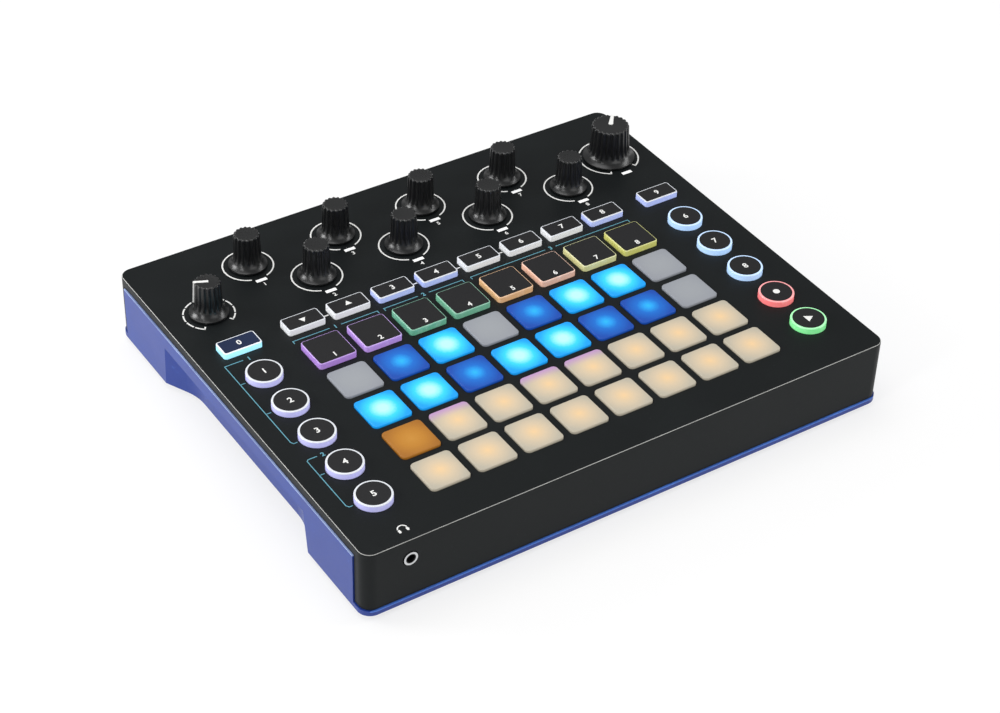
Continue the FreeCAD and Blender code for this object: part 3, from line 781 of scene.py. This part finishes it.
def numeral(text: str, height: float, x: float, y: float, bottom: float, weight: float = 0.022) -> Shape:
    """Plain numbers as a thin plate, middled on x and y.

    Args:
        text: The digits.
        height: Height of a digit.
        x: Middle in x.
        y: Middle in y.
        bottom: Lower level.
        weight: How much the strokes are thickened, as a share of the type size.

    Returns:
        The closed shape.
    """
    curve = bpy.data.curves.new("digits", "FONT")
    curve.body = text
    curve.resolution_u = 3
    curve.extrude = 0.1
    curve.offset = weight
    holder = stand("digits", curve)
    bpy.context.view_layer.update()
    flat = bpy.data.meshes.new_from_object(holder.evaluated_get(bpy.context.evaluated_depsgraph_get()))
    welded = bmesh.new()
    welded.from_mesh(flat)
    bmesh.ops.remove_doubles(welded, verts=welded.verts, dist=1e-5)
    bmesh.ops.recalc_face_normals(welded, faces=welded.faces)
    welded.verts.index_update()
    points = np.array([vertex.co for vertex in welded.verts])
    faces = [tuple(vertex.index for vertex in face.verts) for face in welded.faces]
    welded.free()
    bpy.data.objects.remove(holder)
    bpy.data.curves.remove(curve)
    bpy.data.meshes.remove(flat)
    low, high = points.min(axis=0), points.max(axis=0)
    scale = height / (high[1] - low[1])
    points = (points - (low + high) / 2) * np.array([scale, scale, 1.0])
    points[:, 2] = np.where(points[:, 2] > 0, INK_RISE, 0.0)
    return Shape(points + np.array([x, y, bottom]), faces)


def publish(
    name: str,
    shape: Shape,
    material: Material,
    body: str,
    stands_for: Sequence[str] = (),
    crease: float = 32.0,
) -> None:
    """Puts a shape into the scene as a piece that rides on a body.

    Args:
        name: Name of the piece.
        shape: Its shape, in millimetres.
        material: Its finish.
        body: The frame's body that carries it.
        stands_for: CAD nodes that it replaces.
        crease: Angle in degrees past which an edge stays sharp.
    """
    mesh = shape.mesh(name, material)
    mesh.validate()
    mesh.shade_smooth()
    mesh.set_sharp_from_angle(angle=math.radians(crease))
    piece = stand(name, mesh)
    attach(piece, body)
    if stands_for:
        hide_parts(*stands_for)
    log.info("%s: %d points on %s", name, len(shape.points), body)


# ---- Pads


class Lamp(Enum):
    """What the lamp under a pad shows."""

    OFF = "grey"
    CYAN = "cyan"
    BLUE = "blue"
    AMBER = "amber"
    CREAM = "cream"
    CREAM_VIOLET = "cream_violet"


PAD_TONES: dict[Lamp, LampTone] = {
    # Pads with their lamp off still get a faint emission (0.28): painted glow that lightens the grey
    # pads.
    Lamp.OFF: LampTone(srgb(168, 172, 178), srgb(166, 170, 176), srgb(160, 164, 172), 0.28),
    Lamp.CYAN: LampTone(srgb(172, 238, 248), srgb(50, 198, 240), srgb(18, 150, 230), 0.7, 1.8, 5.6),
    Lamp.BLUE: LampTone(srgb(36, 168, 238), srgb(20, 102, 192), srgb(17, 70, 162), 0.65),
    Lamp.AMBER: LampTone(srgb(198, 138, 52), srgb(190, 128, 42), srgb(168, 108, 34), 0.45),
    Lamp.CREAM: LampTone(srgb(242, 208, 160), srgb(220, 200, 170), srgb(192, 184, 166), 0.4),
}
PAD_TONES[Lamp.CREAM_VIOLET] = replace(PAD_TONES[Lamp.CREAM], back_tint=srgb(196, 140, 214))


@dataclass(frozen=True)
class PadGrid:
    """Thirty-two lit pads in four rows, the first row at the back."""

    size: float = 17.0
    corner: float = 1.9
    rise: float = 1.0
    edge: float = 0.4
    crown: float = 0.12
    lamps: tuple[tuple[Lamp, ...], ...] = (
        (Lamp.OFF, Lamp.BLUE, Lamp.CYAN, Lamp.OFF, Lamp.BLUE, Lamp.CYAN, Lamp.CYAN, Lamp.OFF),
        (Lamp.CYAN, Lamp.CYAN, Lamp.BLUE, Lamp.CYAN, Lamp.CYAN, Lamp.BLUE, Lamp.BLUE, Lamp.OFF),
        (Lamp.AMBER, Lamp.CREAM_VIOLET, Lamp.CREAM) + (Lamp.CREAM_VIOLET,) * 2 + (Lamp.CREAM,) * 3,
        (Lamp.CREAM,) * 8,
    )

    def build(self) -> None:
        """Makes every pad, each with its own lamp's finish."""
        outline = RoundedBox(self.size, self.size, self.corner)
        top = PANEL_TOP + self.rise - self.crown
        form = soft_slab(outline, CAP_FOOT, top, self.edge, self.crown)
        for row, (y, lamps) in enumerate(zip(PAD_ROW_Y, self.lamps), 1):
            for column, (x, lamp) in enumerate(zip(COLUMN_X, lamps), 1):
                finish = PadGlow(f"pad_{lamp.value}_{row}_{column}", (x, y), PAD_TONES[lamp]).build()
                node = f"pad_row_{row}"
                publish(f"pad_{row}_{column}", form.moved(x, y), finish, node, [node])


# ---- Keys


class Mark(Enum):
    """Sign printed on a key that carries no number."""

    DOT = "dot"
    RIGHT = "right"
    DOWN = "down"
    UP = "up"


def sign(mark: Mark, size: float, x: float, y: float, bottom: float) -> Shape:
    """A dot, or a triangle: corners at size (cos a, sin a) for three angles a third of a turn apart.

    Args:
        mark: Which sign.
        size: Distance from a triangle's middle to its corners.
        x: Middle in x.
        y: Middle in y.
        bottom: Lower level.

    Returns:
        The closed shape.
    """
    if mark is Mark.DOT:
        return plate(Disc(size * 0.62, 40).ring(0.0), bottom, bottom + INK_RISE).moved(x, y)
    heading = {Mark.RIGHT: 0.0, Mark.DOWN: -90.0, Mark.UP: 90.0}[mark]
    corners = polar(size, np.radians(heading + np.array([0.0, 120.0, 240.0])))
    return plate(corners, bottom, bottom + INK_RISE).moved(x, y)


@dataclass(frozen=True)
class Key:
    """One function key: its cap, its black printed top and its sign."""

    name: str
    x: float
    y: float
    outline: Outline
    border: float
    side: Colour
    rim: Colour
    label: str | Mark
    label_size: float
    label_shift: Place = (0.0, 0.0)
    ink: str = "key_ink_black"
    shine: float = 0.35
    top: float = 34.4
    edge: float = 0.35

    def build(self, inks: Mapping[str, Material]) -> None:
        """Makes the cap, the ink and the sign.

        Args:
            inks: Print finishes by name.
        """
        cap = soft_slab(self.outline, CAP_FOOT, self.top, self.edge).moved(self.x, self.y)
        finish = KeyBody(f"{self.name}_moulding", self.side, self.rim, self.shine)
        publish(f"{self.name}_cap", cap, finish.build(), self.name, [self.name])
        inked = plate(self.outline.ring(self.border), self.top - INK_SINK, self.top + INK_RISE)
        publish(f"{self.name}_ink", inked.moved(self.x, self.y), inks[self.ink], self.name)
        x, y = self.x + self.label_shift[0], self.y + self.label_shift[1]
        over = self.top + INK_RISE - 0.005
        if isinstance(self.label, Mark):
            text = sign(self.label, self.label_size, x, y, over)
        else:
            text = numeral(self.label, self.label_size, x, y, over)
        publish(f"{self.name}_sign", text, inks["print_white"], self.name)


@dataclass(frozen=True)
class FunctionKeys:
    """Ten oblong, ten round and eight square keys round the pads."""

    white: Colour = srgb(221, 223, 225)
    pale_rim: Colour = srgb(196, 199, 204)
    lavender: Colour = srgb(176, 190, 246)
    pale_lavender: Colour = srgb(192, 192, 244)
    sky: Colour = srgb(172, 206, 246)
    cyan: Colour = srgb(156, 226, 250)
    red: Colour = srgb(236, 120, 122)
    green: Colour = srgb(126, 226, 146)
    track_tones: tuple[Colour, ...] = (
        srgb(166, 126, 206),
        srgb(176, 140, 216),
        srgb(98, 166, 136),
        srgb(104, 166, 138),
        srgb(214, 168, 120),
        srgb(216, 172, 150),
        srgb(196, 196, 138),
        srgb(190, 190, 104),
    )
    oblong_plan: RoundedBox = RoundedBox(16.6, 8.6, 1.2)
    oblong_border: float = 0.55
    track_plan: RoundedBox = RoundedBox(16.6, 16.4, 1.4)
    track_border: float = 0.42
    round_plan: Disc = Disc(7.3)
    round_border: float = 0.85
    round_number: float = 3.0

    def oblong(self, name: str, x: float, side: Colour, label: str | Mark, **more: Any) -> Key:
        """An oblong key.

        Args:
            name: Name of its body.
            x: Its middle in x.
            side: Colour of its side.
            label: Its number or sign.
            **more: Its ink and shine, where they aren't the usual ones.

        Returns:
            The key.
        """
        size = 1.7 if isinstance(label, Mark) else 2.9
        look = (self.oblong_plan, self.oblong_border, side, self.pale_rim)
        return Key(name, x, OBLONG_Y, *look, label, size, **more)

    def keys(self) -> list[Key]:
        """Lists every key with its place, tone and sign.

        Returns:
            The keys.
        """
        made: list[Key] = []
        signs: list[str | Mark] = [Mark.DOWN, Mark.UP, "3", "4", "5", "6", "7", "8"]
        for number, (x, label) in enumerate(zip(COLUMN_X, signs), 1):
            side = self.lavender if number in (3, 4, 8) else self.white
            made.append(self.oblong(f"option_button_{number}", x, side, label))
        lit = {"ink": "key_ink_navy", "shine": 0.75}
        made.append(self.oblong("left_option_button", -SIDE_X, self.cyan, "0", **lit))
        made.append(self.oblong("right_option_button", SIDE_X, self.lavender, "9"))
        for number, (x, tone) in enumerate(zip(COLUMN_X, self.track_tones), 1):
            look = (self.track_plan, self.track_border, tone, washed(tone, 0.8, 0.08))
            made.append(Key(f"track_button_{number}", x, TRACK_Y, *look, str(number), 2.7, (0.0, -4.9)))
        right_signs: list[str | Mark] = ["6", "7", "8", Mark.DOT, Mark.RIGHT]
        right_tones = (self.sky, self.sky, self.sky, self.red, self.green)
        for row, (y, label, tone) in enumerate(zip(ROUND_Y, right_signs, right_tones), 1):
            look = (self.round_plan, self.round_border, self.pale_lavender, self.pale_rim)
            made.append(Key(f"left_round_button_{row}", -SIDE_X, y, *look, str(row), self.round_number))
            size = 2.3 if isinstance(label, Mark) else self.round_number
            look = (self.round_plan, self.round_border, tone, washed(tone, 0.7, 0.14))
            made.append(Key(f"right_round_button_{row}", SIDE_X, y, *look, label, size, shine=0.5))
        return made

    def build(self, inks: Mapping[str, Material]) -> None:
        """Makes every key in the inks given."""
        for key in self.keys():
            key.build(inks)


# ---- Knobs


@dataclass(frozen=True)
class Knob:
    """A fluted rubber knob on a flared skirt."""

    name: str
    x: float
    y: float
    top_radius: float = 5.3
    base_radius: float = 5.8
    skirt_radius: float = 8.0
    height: float = 15.55
    flutes: int = 16
    lip: float = 1.1
    flare: float = 3.6
    edge: float = 0.7
    groove: float = 0.58
    groove_share: float = 0.27
    foot: float = 32.4
    dish: float = 0.18

    def profile(self) -> tuple[np.ndarray, np.ndarray, np.ndarray]:
        """Works out the knob's profile.

        The skirt's lip is straight, the flare is radius = base + (skirt - base) (1 - s)^2.6 over its
        height, the body tapers straight, and the edge is a quarter circle. Last comes the dished top.

        Returns:
            Radius, level above the foot and groove depth of 0 to 1, one of each per ring.
        """
        share = np.linspace(0, 1, 12)[1:]
        angles = np.linspace(0, math.pi / 2, 7)
        inner = np.linspace(1, 0.02, 8)[1:]
        shoulder = self.height - self.edge
        rise = np.linspace(0, 1, 14)[1:]
        radius = np.concatenate([
            [self.skirt_radius - 0.25, self.skirt_radius, self.skirt_radius, self.skirt_radius - 0.3],
            self.base_radius + (self.skirt_radius - 0.35 - self.base_radius) * (1 - share) ** 2.6,
            self.base_radius + (self.top_radius - self.base_radius) * rise,
            self.top_radius - self.edge * (1 - np.cos(angles[1:])),
            (self.top_radius - self.edge) * inner,
        ])
        level = np.concatenate([
            [0.0, 0.2, self.lip - 0.2, self.lip],
            self.lip + 0.05 + self.flare * share,
            self.lip + 0.05 + self.flare + (shoulder - self.lip - 0.05 - self.flare) * rise,
            shoulder + self.edge * np.sin(angles[1:]),
            self.height - self.dish * (1 - inner**2),
        ])
        depth = np.clip((level - self.lip - self.flare * 0.55) / (self.flare * 0.7), 0, 1)
        on_top = radius < self.top_radius - self.edge * 0.98
        depth = np.where(on_top, depth * (radius / self.top_radius) ** 4, depth)
        return radius, level, depth

    def form(self) -> Shape:
        """Works out the knob's surface: radius(level) - groove depth exp(-(a / share)^4).

        Here a is the angle from the nearest groove, as a part of the angle between two.

        Returns:
            The closed shape in its place.
        """
        radius, level, depth = self.profile()
        around = self.flutes * 12
        angles = np.arange(around) * TURN / around
        off = (angles * self.flutes / TURN) % 1.0 - 0.5
        dent = np.exp(-((off / self.groove_share) ** 4))
        reach = radius[:, None] - self.groove * depth[:, None] * dent[None, :]
        levels = np.repeat(level[:, None], around, 1)
        rings = np.stack([reach * np.cos(angles), reach * np.sin(angles), levels], axis=2)
        return loft(rings).moved(self.x, self.y, self.foot)

    def build(self, rubber: Material) -> None:
        """Makes the knob."""
        form = self.form()
        publish(f"{self.name}_grip", form, rubber, self.name, [self.name], crease=50.0)


@dataclass(frozen=True)
class KnobBank:
    """Eight macro knobs in two staggered rows, and the volume and filter knobs."""

    volume_top: float = 48.0
    volume_heading: float = 156.0
    volume_line: float = 1.15
    filter_top: float = 49.0
    filter_heading: float = 49.0

    def knobs(self) -> list[Knob]:
        """Lists every knob with its place and size.

        Returns:
            The knobs.
        """
        made = [Knob(f"macro_knob_{number}", *place) for number, place in enumerate(MACRO_PLACES, 1)]
        made.append(Knob("volume_knob", *VOLUME_PLACE))
        made.append(Knob("filter_knob", *FILTER_PLACE, 8.1, 8.8, 11.3, 16.55, 22, groove=0.62))
        return made

    def pointers(self, white: Material) -> None:
        """White line of the volume knob, over its top and down its side, and wedge of the filter knob.

        Args:
            white: The print's finish.
        """
        top, peak = self.volume_top, self.filter_top
        over = band(np.array([[-0.5, 0.0], [5.5, 0.0]]), self.volume_line, top - 0.5, top)
        down = self.side_line(5.5, 6.05, top - 0.2, PANEL_TOP + 6.4, self.volume_line)
        volume = (over + down).turned(self.volume_heading).moved(*VOLUME_PLACE)
        publish("volume_pointer", volume, white, "volume_knob")
        path = np.array([[0.0, 0.0], [0.5, 0.0], [7.9, 0.0]])
        wedge = band(path, np.array([1.2, 2.0, 1.2]), peak - 0.4, peak)
        drop = self.side_line(8.08, 8.5, peak - 0.35, peak - 6.0, 1.1)
        turned = (wedge + drop).turned(self.filter_heading).moved(*FILTER_PLACE)
        publish("filter_pointer", turned, white, "filter_knob")

    @staticmethod
    def side_line(top_radius: float, foot_radius: float, top: float, foot: float, width: float) -> Shape:
        """A line down a knob's side.

        Its rings are rectangles, from half a millimetre inside the side to 0.05 outside it, and their
        radius runs straight from the foot's to the top's.

        Args:
            top_radius: Radius of the side at the top.
            foot_radius: Radius of the side at the foot.
            top: Upper level.
            foot: Lower level.
            width: Width of the line.

        Returns:
            The closed shape, on the +X side.
        """
        half = width / 2
        rings = []
        for radius, level in ((foot_radius, foot), (top_radius, top)):
            inner, outer = radius - 0.5, radius + 0.05
            corners = np.array([(inner, -half), (outer, -half), (outer, half), (inner, half)])
            rings.append(at_level(corners, level))
        return loft(np.array(rings))

    def build(self, rubber: Material, white: Material) -> None:
        """Makes every knob and both pointers.

        Args:
            rubber: The knobs' finish.
            white: The pointers' finish.
        """
        for knob in self.knobs():
            knob.build(rubber)
        self.pointers(white)


# ---- Panel print


@dataclass(frozen=True)
class PanelPrint:
    """White and blue lines, marks and plain numbers printed on the panel."""

    ring_width: float = 0.62
    line_width: float = 0.36
    macro_ring: float = 10.4
    macro_sweep: Place = (-71.0, 251.0)
    number_drop: float = 14.6
    volume_ring: float = 10.3
    volume_first: float = -53.0
    volume_step: float = 26.2
    volume_dashes: int = 11
    dash_gap: float = 2.0
    tick_depth: float = 1.5
    dash_clear: float = 8.9
    dash_width: float = 0.6
    filter_ring: float = 13.0
    filter_sweep: Place = (-60.5, 240.5)
    low: float = PANEL_TOP - INK_SINK
    high: float = PANEL_TOP + 0.035

    def line(self, points: Sequence[Place] | np.ndarray, width: float | None = None) -> Shape:
        """A printed line through points."""
        return band(np.asarray(points, float), width or self.line_width, self.low, self.high)

    def rings(self) -> Shape:
        """Open rings round the knobs, with end ticks and dashes where the real ones have them.

        Returns:
            The rings, and the macro knobs' numbers.
        """
        made: list[Shape] = []
        for number, place in enumerate(MACRO_PLACES, 1):
            made.append(self.line(arc(self.macro_ring, *self.macro_sweep, place), self.ring_width))
            made.append(numeral(str(number), 2.1, place[0], place[1] - self.number_drop, self.low))
        for dash in range(self.volume_dashes):
            start = self.volume_first + dash * self.volume_step
            ends = (start + self.dash_gap, start + self.volume_step - self.dash_gap)
            made.append(self.line(arc(self.volume_ring, *ends, VOLUME_PLACE), self.ring_width))
        first = self.volume_first + self.dash_gap
        last = self.volume_first + self.volume_dashes * self.volume_step - self.dash_gap
        made += [self.tick(VOLUME_PLACE, self.volume_ring, angle) for angle in (first, last)]
        made.append(self.line(arc(self.filter_ring, *self.filter_sweep, FILTER_PLACE), self.ring_width))
        made += [self.tick(FILTER_PLACE, self.filter_ring, angle) for angle in self.filter_sweep]
        return merged(made)

    def tick(self, centre: Place, radius: float, degrees: float) -> Shape:
        """A short mark inwards from a ring's end."""
        ends = np.array([[radius + self.ring_width / 2], [radius - self.tick_depth]])
        return self.line(np.array(centre) + ends * polar(1.0, np.radians(degrees)), self.ring_width)

    def dashes(self) -> Shape:
        """Short white marks that join neighbouring oblong keys."""
        gaps = [(COLUMN_X[n] + self.dash_clear, COLUMN_X[n + 1] - self.dash_clear) for n in (0, 2, 3, 4)]
        return merged([self.line([(a, OBLONG_Y), (b, OBLONG_Y)], self.dash_width) for a, b in gaps])

    def headphones(self) -> Shape:
        """A small headphone sign: a band over two ear pieces.

        Returns:
            The sign.
        """
        x, y = -100.0, -92.4
        hoop = self.line(arc(1.9, 10.0, 170.0, (x, y)), 0.45)
        ear = plate(RoundedBox(1.0, 1.7, 0.4, 3).ring(0.0), self.low, self.high)
        return merged([hoop, *(ear.moved(x + aside, y - 0.75) for aside in (-1.65, 1.65))])

    def step_lines(self) -> Shape:
        """Blue brackets beside the left column and over the square keys, with plain group numbers.

        Returns:
            The brackets and numbers.
        """
        spine, bend, end = -111.1, -110.4, -108.9
        upper = [(-103.0, 21.9), (spine, 21.9), (spine, -30.4), (bend, -31.6), (end, -31.6)]
        lower = [(-106.6, -42.3), (bend, -42.3), (spine, -43.0), (spine, -71.3), (bend, -72.5)]
        made = [self.line(upper), self.line([*lower, (end, -72.5)])]
        made += [self.line([(spine, y), (end, y)]) for y in (9.0, -11.4, -52.1)]
        foot, top, clear = 20.6, 22.2, 2.6
        labels = [("1", -SIDE_X, 21.9), ("2", -104.2, -42.3)]
        for number, (start, stop) in enumerate(((-81.0, -42.6), (-39.6, -2.5), (1.4, 79.9)), 1):
            middle = (start + stop) / 2
            made.append(self.line([(start, foot), (start, top), (middle - clear, top)]))
            made.append(self.line([(middle + clear, top), (stop, top), (stop, foot)]))
            labels.append((str(number), middle, top))
        made += [numeral(text, 2.2, x, y, self.low, 0.03) for text, x, y in labels]
        return merged(made)

    def build(self, white: Material, blue: Material) -> None:
        """Makes the print as three pieces on the cover.

        Args:
            white: The white print's finish.
            blue: The blue print's finish.
        """
        publish("ring_print", self.rings(), white, "root")
        publish("key_print", merged([self.dashes(), self.headphones()]), white, "root")
        publish("step_print", self.step_lines(), blue, "root")


def merged(shapes: Sequence[Shape]) -> Shape:
    """Several shapes as one."""
    return reduce(add, shapes)


# ---- Frame finishes and studio


class FrameFinishes:
    """Finishes of the CAD nodes that stay in view."""

    def table(self) -> dict[str, Material]:
        """Makes the finishes.

        Returns:
            Each node's material.
        """
        black = Moulded("case_black_plastic", srgb(24, 24, 25), srgb(60, 60, 60), 0.4).build()
        tub = TubPlastic("tub_blue").build()
        steel = BareMetal("rolled_steel", srgb(176, 178, 180), 0.3).build()
        board = Moulded("board_green", srgb(24, 92, 54), srgb(70, 130, 80), 0.4).build()
        rubber = Moulded("foot_rubber", srgb(30, 30, 31), srgb(70, 70, 70), 0.75, 0.6, 0.03).build()
        mat = Moulded("mat_silicone", srgb(196, 198, 200), srgb(226, 226, 226), 0.6).build()
        window = PrintInk("window_clear", srgb(236, 236, 236), 0.25, 0.25).build()
        return {
            "top_cover": CoverCoat().build(),
            "bottom_case": tub,
            "battery_door": tub,
            "rubber_feet": rubber,
            "control_board": board,
            "main_board": board,
            "keypad_mat": mat,
            "encoders_and_pots": steel,
            "light_guides": window,
            "headphone_socket": HeadphoneBush().build(),
            "line_out_sockets": black,
            "note_sockets": black,
            "usb_socket": steel,
            "power_socket": black,
            "power_button": black,
            "speaker": black,
            "battery_contacts": steel,
            "screws": steel,
        }

    def build(self, nodes: Mapping[str, bpy.types.Object]) -> None:
        """Gives every node its material.

        Args:
            nodes: The frame's objects by name.
        """
        table = self.table()
        plain = table["power_button"]
        for name, node in nodes.items():
            node.data.materials.clear()
            node.data.materials.append(table.get(name, plain))
            log.info("%s wears %s", name, node.data.materials[0].name)


@dataclass(frozen=True)
class SoftLamp:
    """A rectangular lamp that faces the object, its place and sides in metres."""

    name: str
    place: Point
    width: float
    height: float
    power: float


@dataclass(frozen=True)
class Studio:
    """Pale floor, soft lamps and the camera at the photograph's angle."""

    place: Point = (-0.41722, -0.61806, 0.59856)
    right: Point = (0.8384796780, -0.5443292246, 0.0256422473)
    up: Point = (0.3218513846, 0.5326505729, 0.7827483973)
    back: Point = (-0.4397311858, -0.6480656313, 0.6218097955)
    lens: float = 84.168
    world: float = 0.34
    aim: Point = (0.0, 0.0, 0.03)
    lamps: tuple[SoftLamp, ...] = (
        SoftLamp("sky_panel", (-0.2, 0.35, 1.5), 1.5, 1.1, 13.0),
        SoftLamp("left_strip", (-1.3, -0.35, 0.7), 0.18, 1.2, 6.0),
        SoftLamp("left_kicker", (-0.6, 0.42, 0.3), 0.3, 0.3, 2.8),
        SoftLamp("right_strip", (1.15, -0.45, 0.65), 0.3, 1.2, 7.0),
        SoftLamp("front_fill", (0.2, -1.4, 0.8), 1.2, 0.8, 4.0),
    )
    floor_half: float = 4000.0
    floor_white: float = 0.72

    def camera(self) -> None:
        """Stands the camera where the photograph was taken from."""
        data = bpy.data.cameras.new("photo_camera")
        data.sensor_fit = "HORIZONTAL"
        data.sensor_width = 36.0
        data.lens = self.lens
        data.clip_start, data.clip_end = 0.05, 50.0
        camera = stand("photo_camera", data)
        axes = np.eye(4)
        axes[:3, :3] = np.stack([self.right, self.up, self.back], axis=1)
        axes[:3, 3] = self.place
        camera.matrix_world = Matrix(axes.tolist())
        bpy.context.scene.camera = camera

    def light(self) -> None:
        """Hangs the lamps and sets the room's own light."""
        for lamp in self.lamps:
            data = bpy.data.lights.new(lamp.name, "AREA")
            data.shape = "RECTANGLE"
            data.size, data.size_y, data.energy = lamp.width, lamp.height, lamp.power
            hung = stand(lamp.name, data)
            hung.location = lamp.place
            hung.rotation_mode = "QUATERNION"
            hung.rotation_quaternion = (Vector(self.aim) - Vector(lamp.place)).to_track_quat("-Z", "Y")
        world = bpy.data.worlds.new("room")
        world.use_nodes = True
        background = world.node_tree.nodes["Background"]
        background.inputs[0].default_value = (1.0, 1.0, 1.0, 1.0)
        background.inputs[1].default_value = self.world
        bpy.context.scene.world = world

    def floor(self) -> None:
        """Lays the pale floor; most of what the camera sees of it is its own even white."""
        tree = Tree("floor_white")
        mottle = tree.noise(60.0, 2.0)
        tree.shader(
            Base_Color=tree.blend(mottle * 0.1, (0.92, 0.92, 0.92, 1.0), (0.88, 0.88, 0.88, 1.0)),
            Roughness=mottle * 0.1 + 0.8,
            Normal=tree.bump(mottle, 0.01),
            Specular_IOR_Level=0.1,
        )
        ray = tree.nodes.new("ShaderNodeLightPath")
        seen = Wire(tree, ray.outputs["Is Camera Ray"])
        for kind in ("Is Glossy Ray", "Is Transmission Ray"):
            seen = seen.largest(Wire(tree, ray.outputs[kind]))
        white = tree.node("ShaderNodeEmission", inputs={0: (1.0, 1.0, 1.0, 1.0), 1: 1.0})
        shaders = {1: Wire(tree, tree.surface.outputs[0]), 2: white}
        both = tree.node("ShaderNodeMixShader", inputs={0: seen * self.floor_white, **shaders})
        tree.feed(tree.output.inputs[0], both)
        corners = np.array([(-1.0, -1.0), (1.0, -1.0), (1.0, 1.0), (-1.0, 1.0)]) * self.floor_half
        slab = plate(corners, -20.0, 0.0)
        stand("floor", slab.mesh("floor", tree.material))

    def build(self) -> None:
        """Makes the floor, the lamps and the camera."""
        self.floor()
        self.light()
        self.camera()
        bpy.context.scene.view_settings.view_transform = "Standard"


def main(loaded: Mapping[str, Any]) -> None:
    """Dresses the frame.
    """
    logging.basicConfig(level=logging.INFO, format="%(message)s")
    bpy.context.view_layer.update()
    # The white and blue print get a faint emission: painted glow on the panel print and the knob
    # pointers, which have no lamp behind them.
    white = PrintInk("print_white", srgb(222, 222, 220), 0.45, 0.12).build()
    blue = PrintInk("print_blue", srgb(92, 152, 168), 0.45, 0.08).build()
    inks = {
        "print_white": white,
        "key_ink_black": PrintInk("key_ink_black", srgb(24, 24, 26), 0.4).build(),
        "key_ink_navy": PrintInk("key_ink_navy", srgb(18, 34, 66), 0.4).build(),
    }
    rubber = Moulded("knob_rubber", srgb(16, 17, 18), srgb(38, 40, 42), 0.3, 0.3, 0.003, 0.6).build()
    FrameFinishes().build(loaded["nodes"])
    PadGrid().build()
    FunctionKeys().build(inks)
    KnobBank().build(rubber, white)
    PanelPrint().build(white, blue)
    Studio().build()


if __name__ == "__main__":
    main(frame)
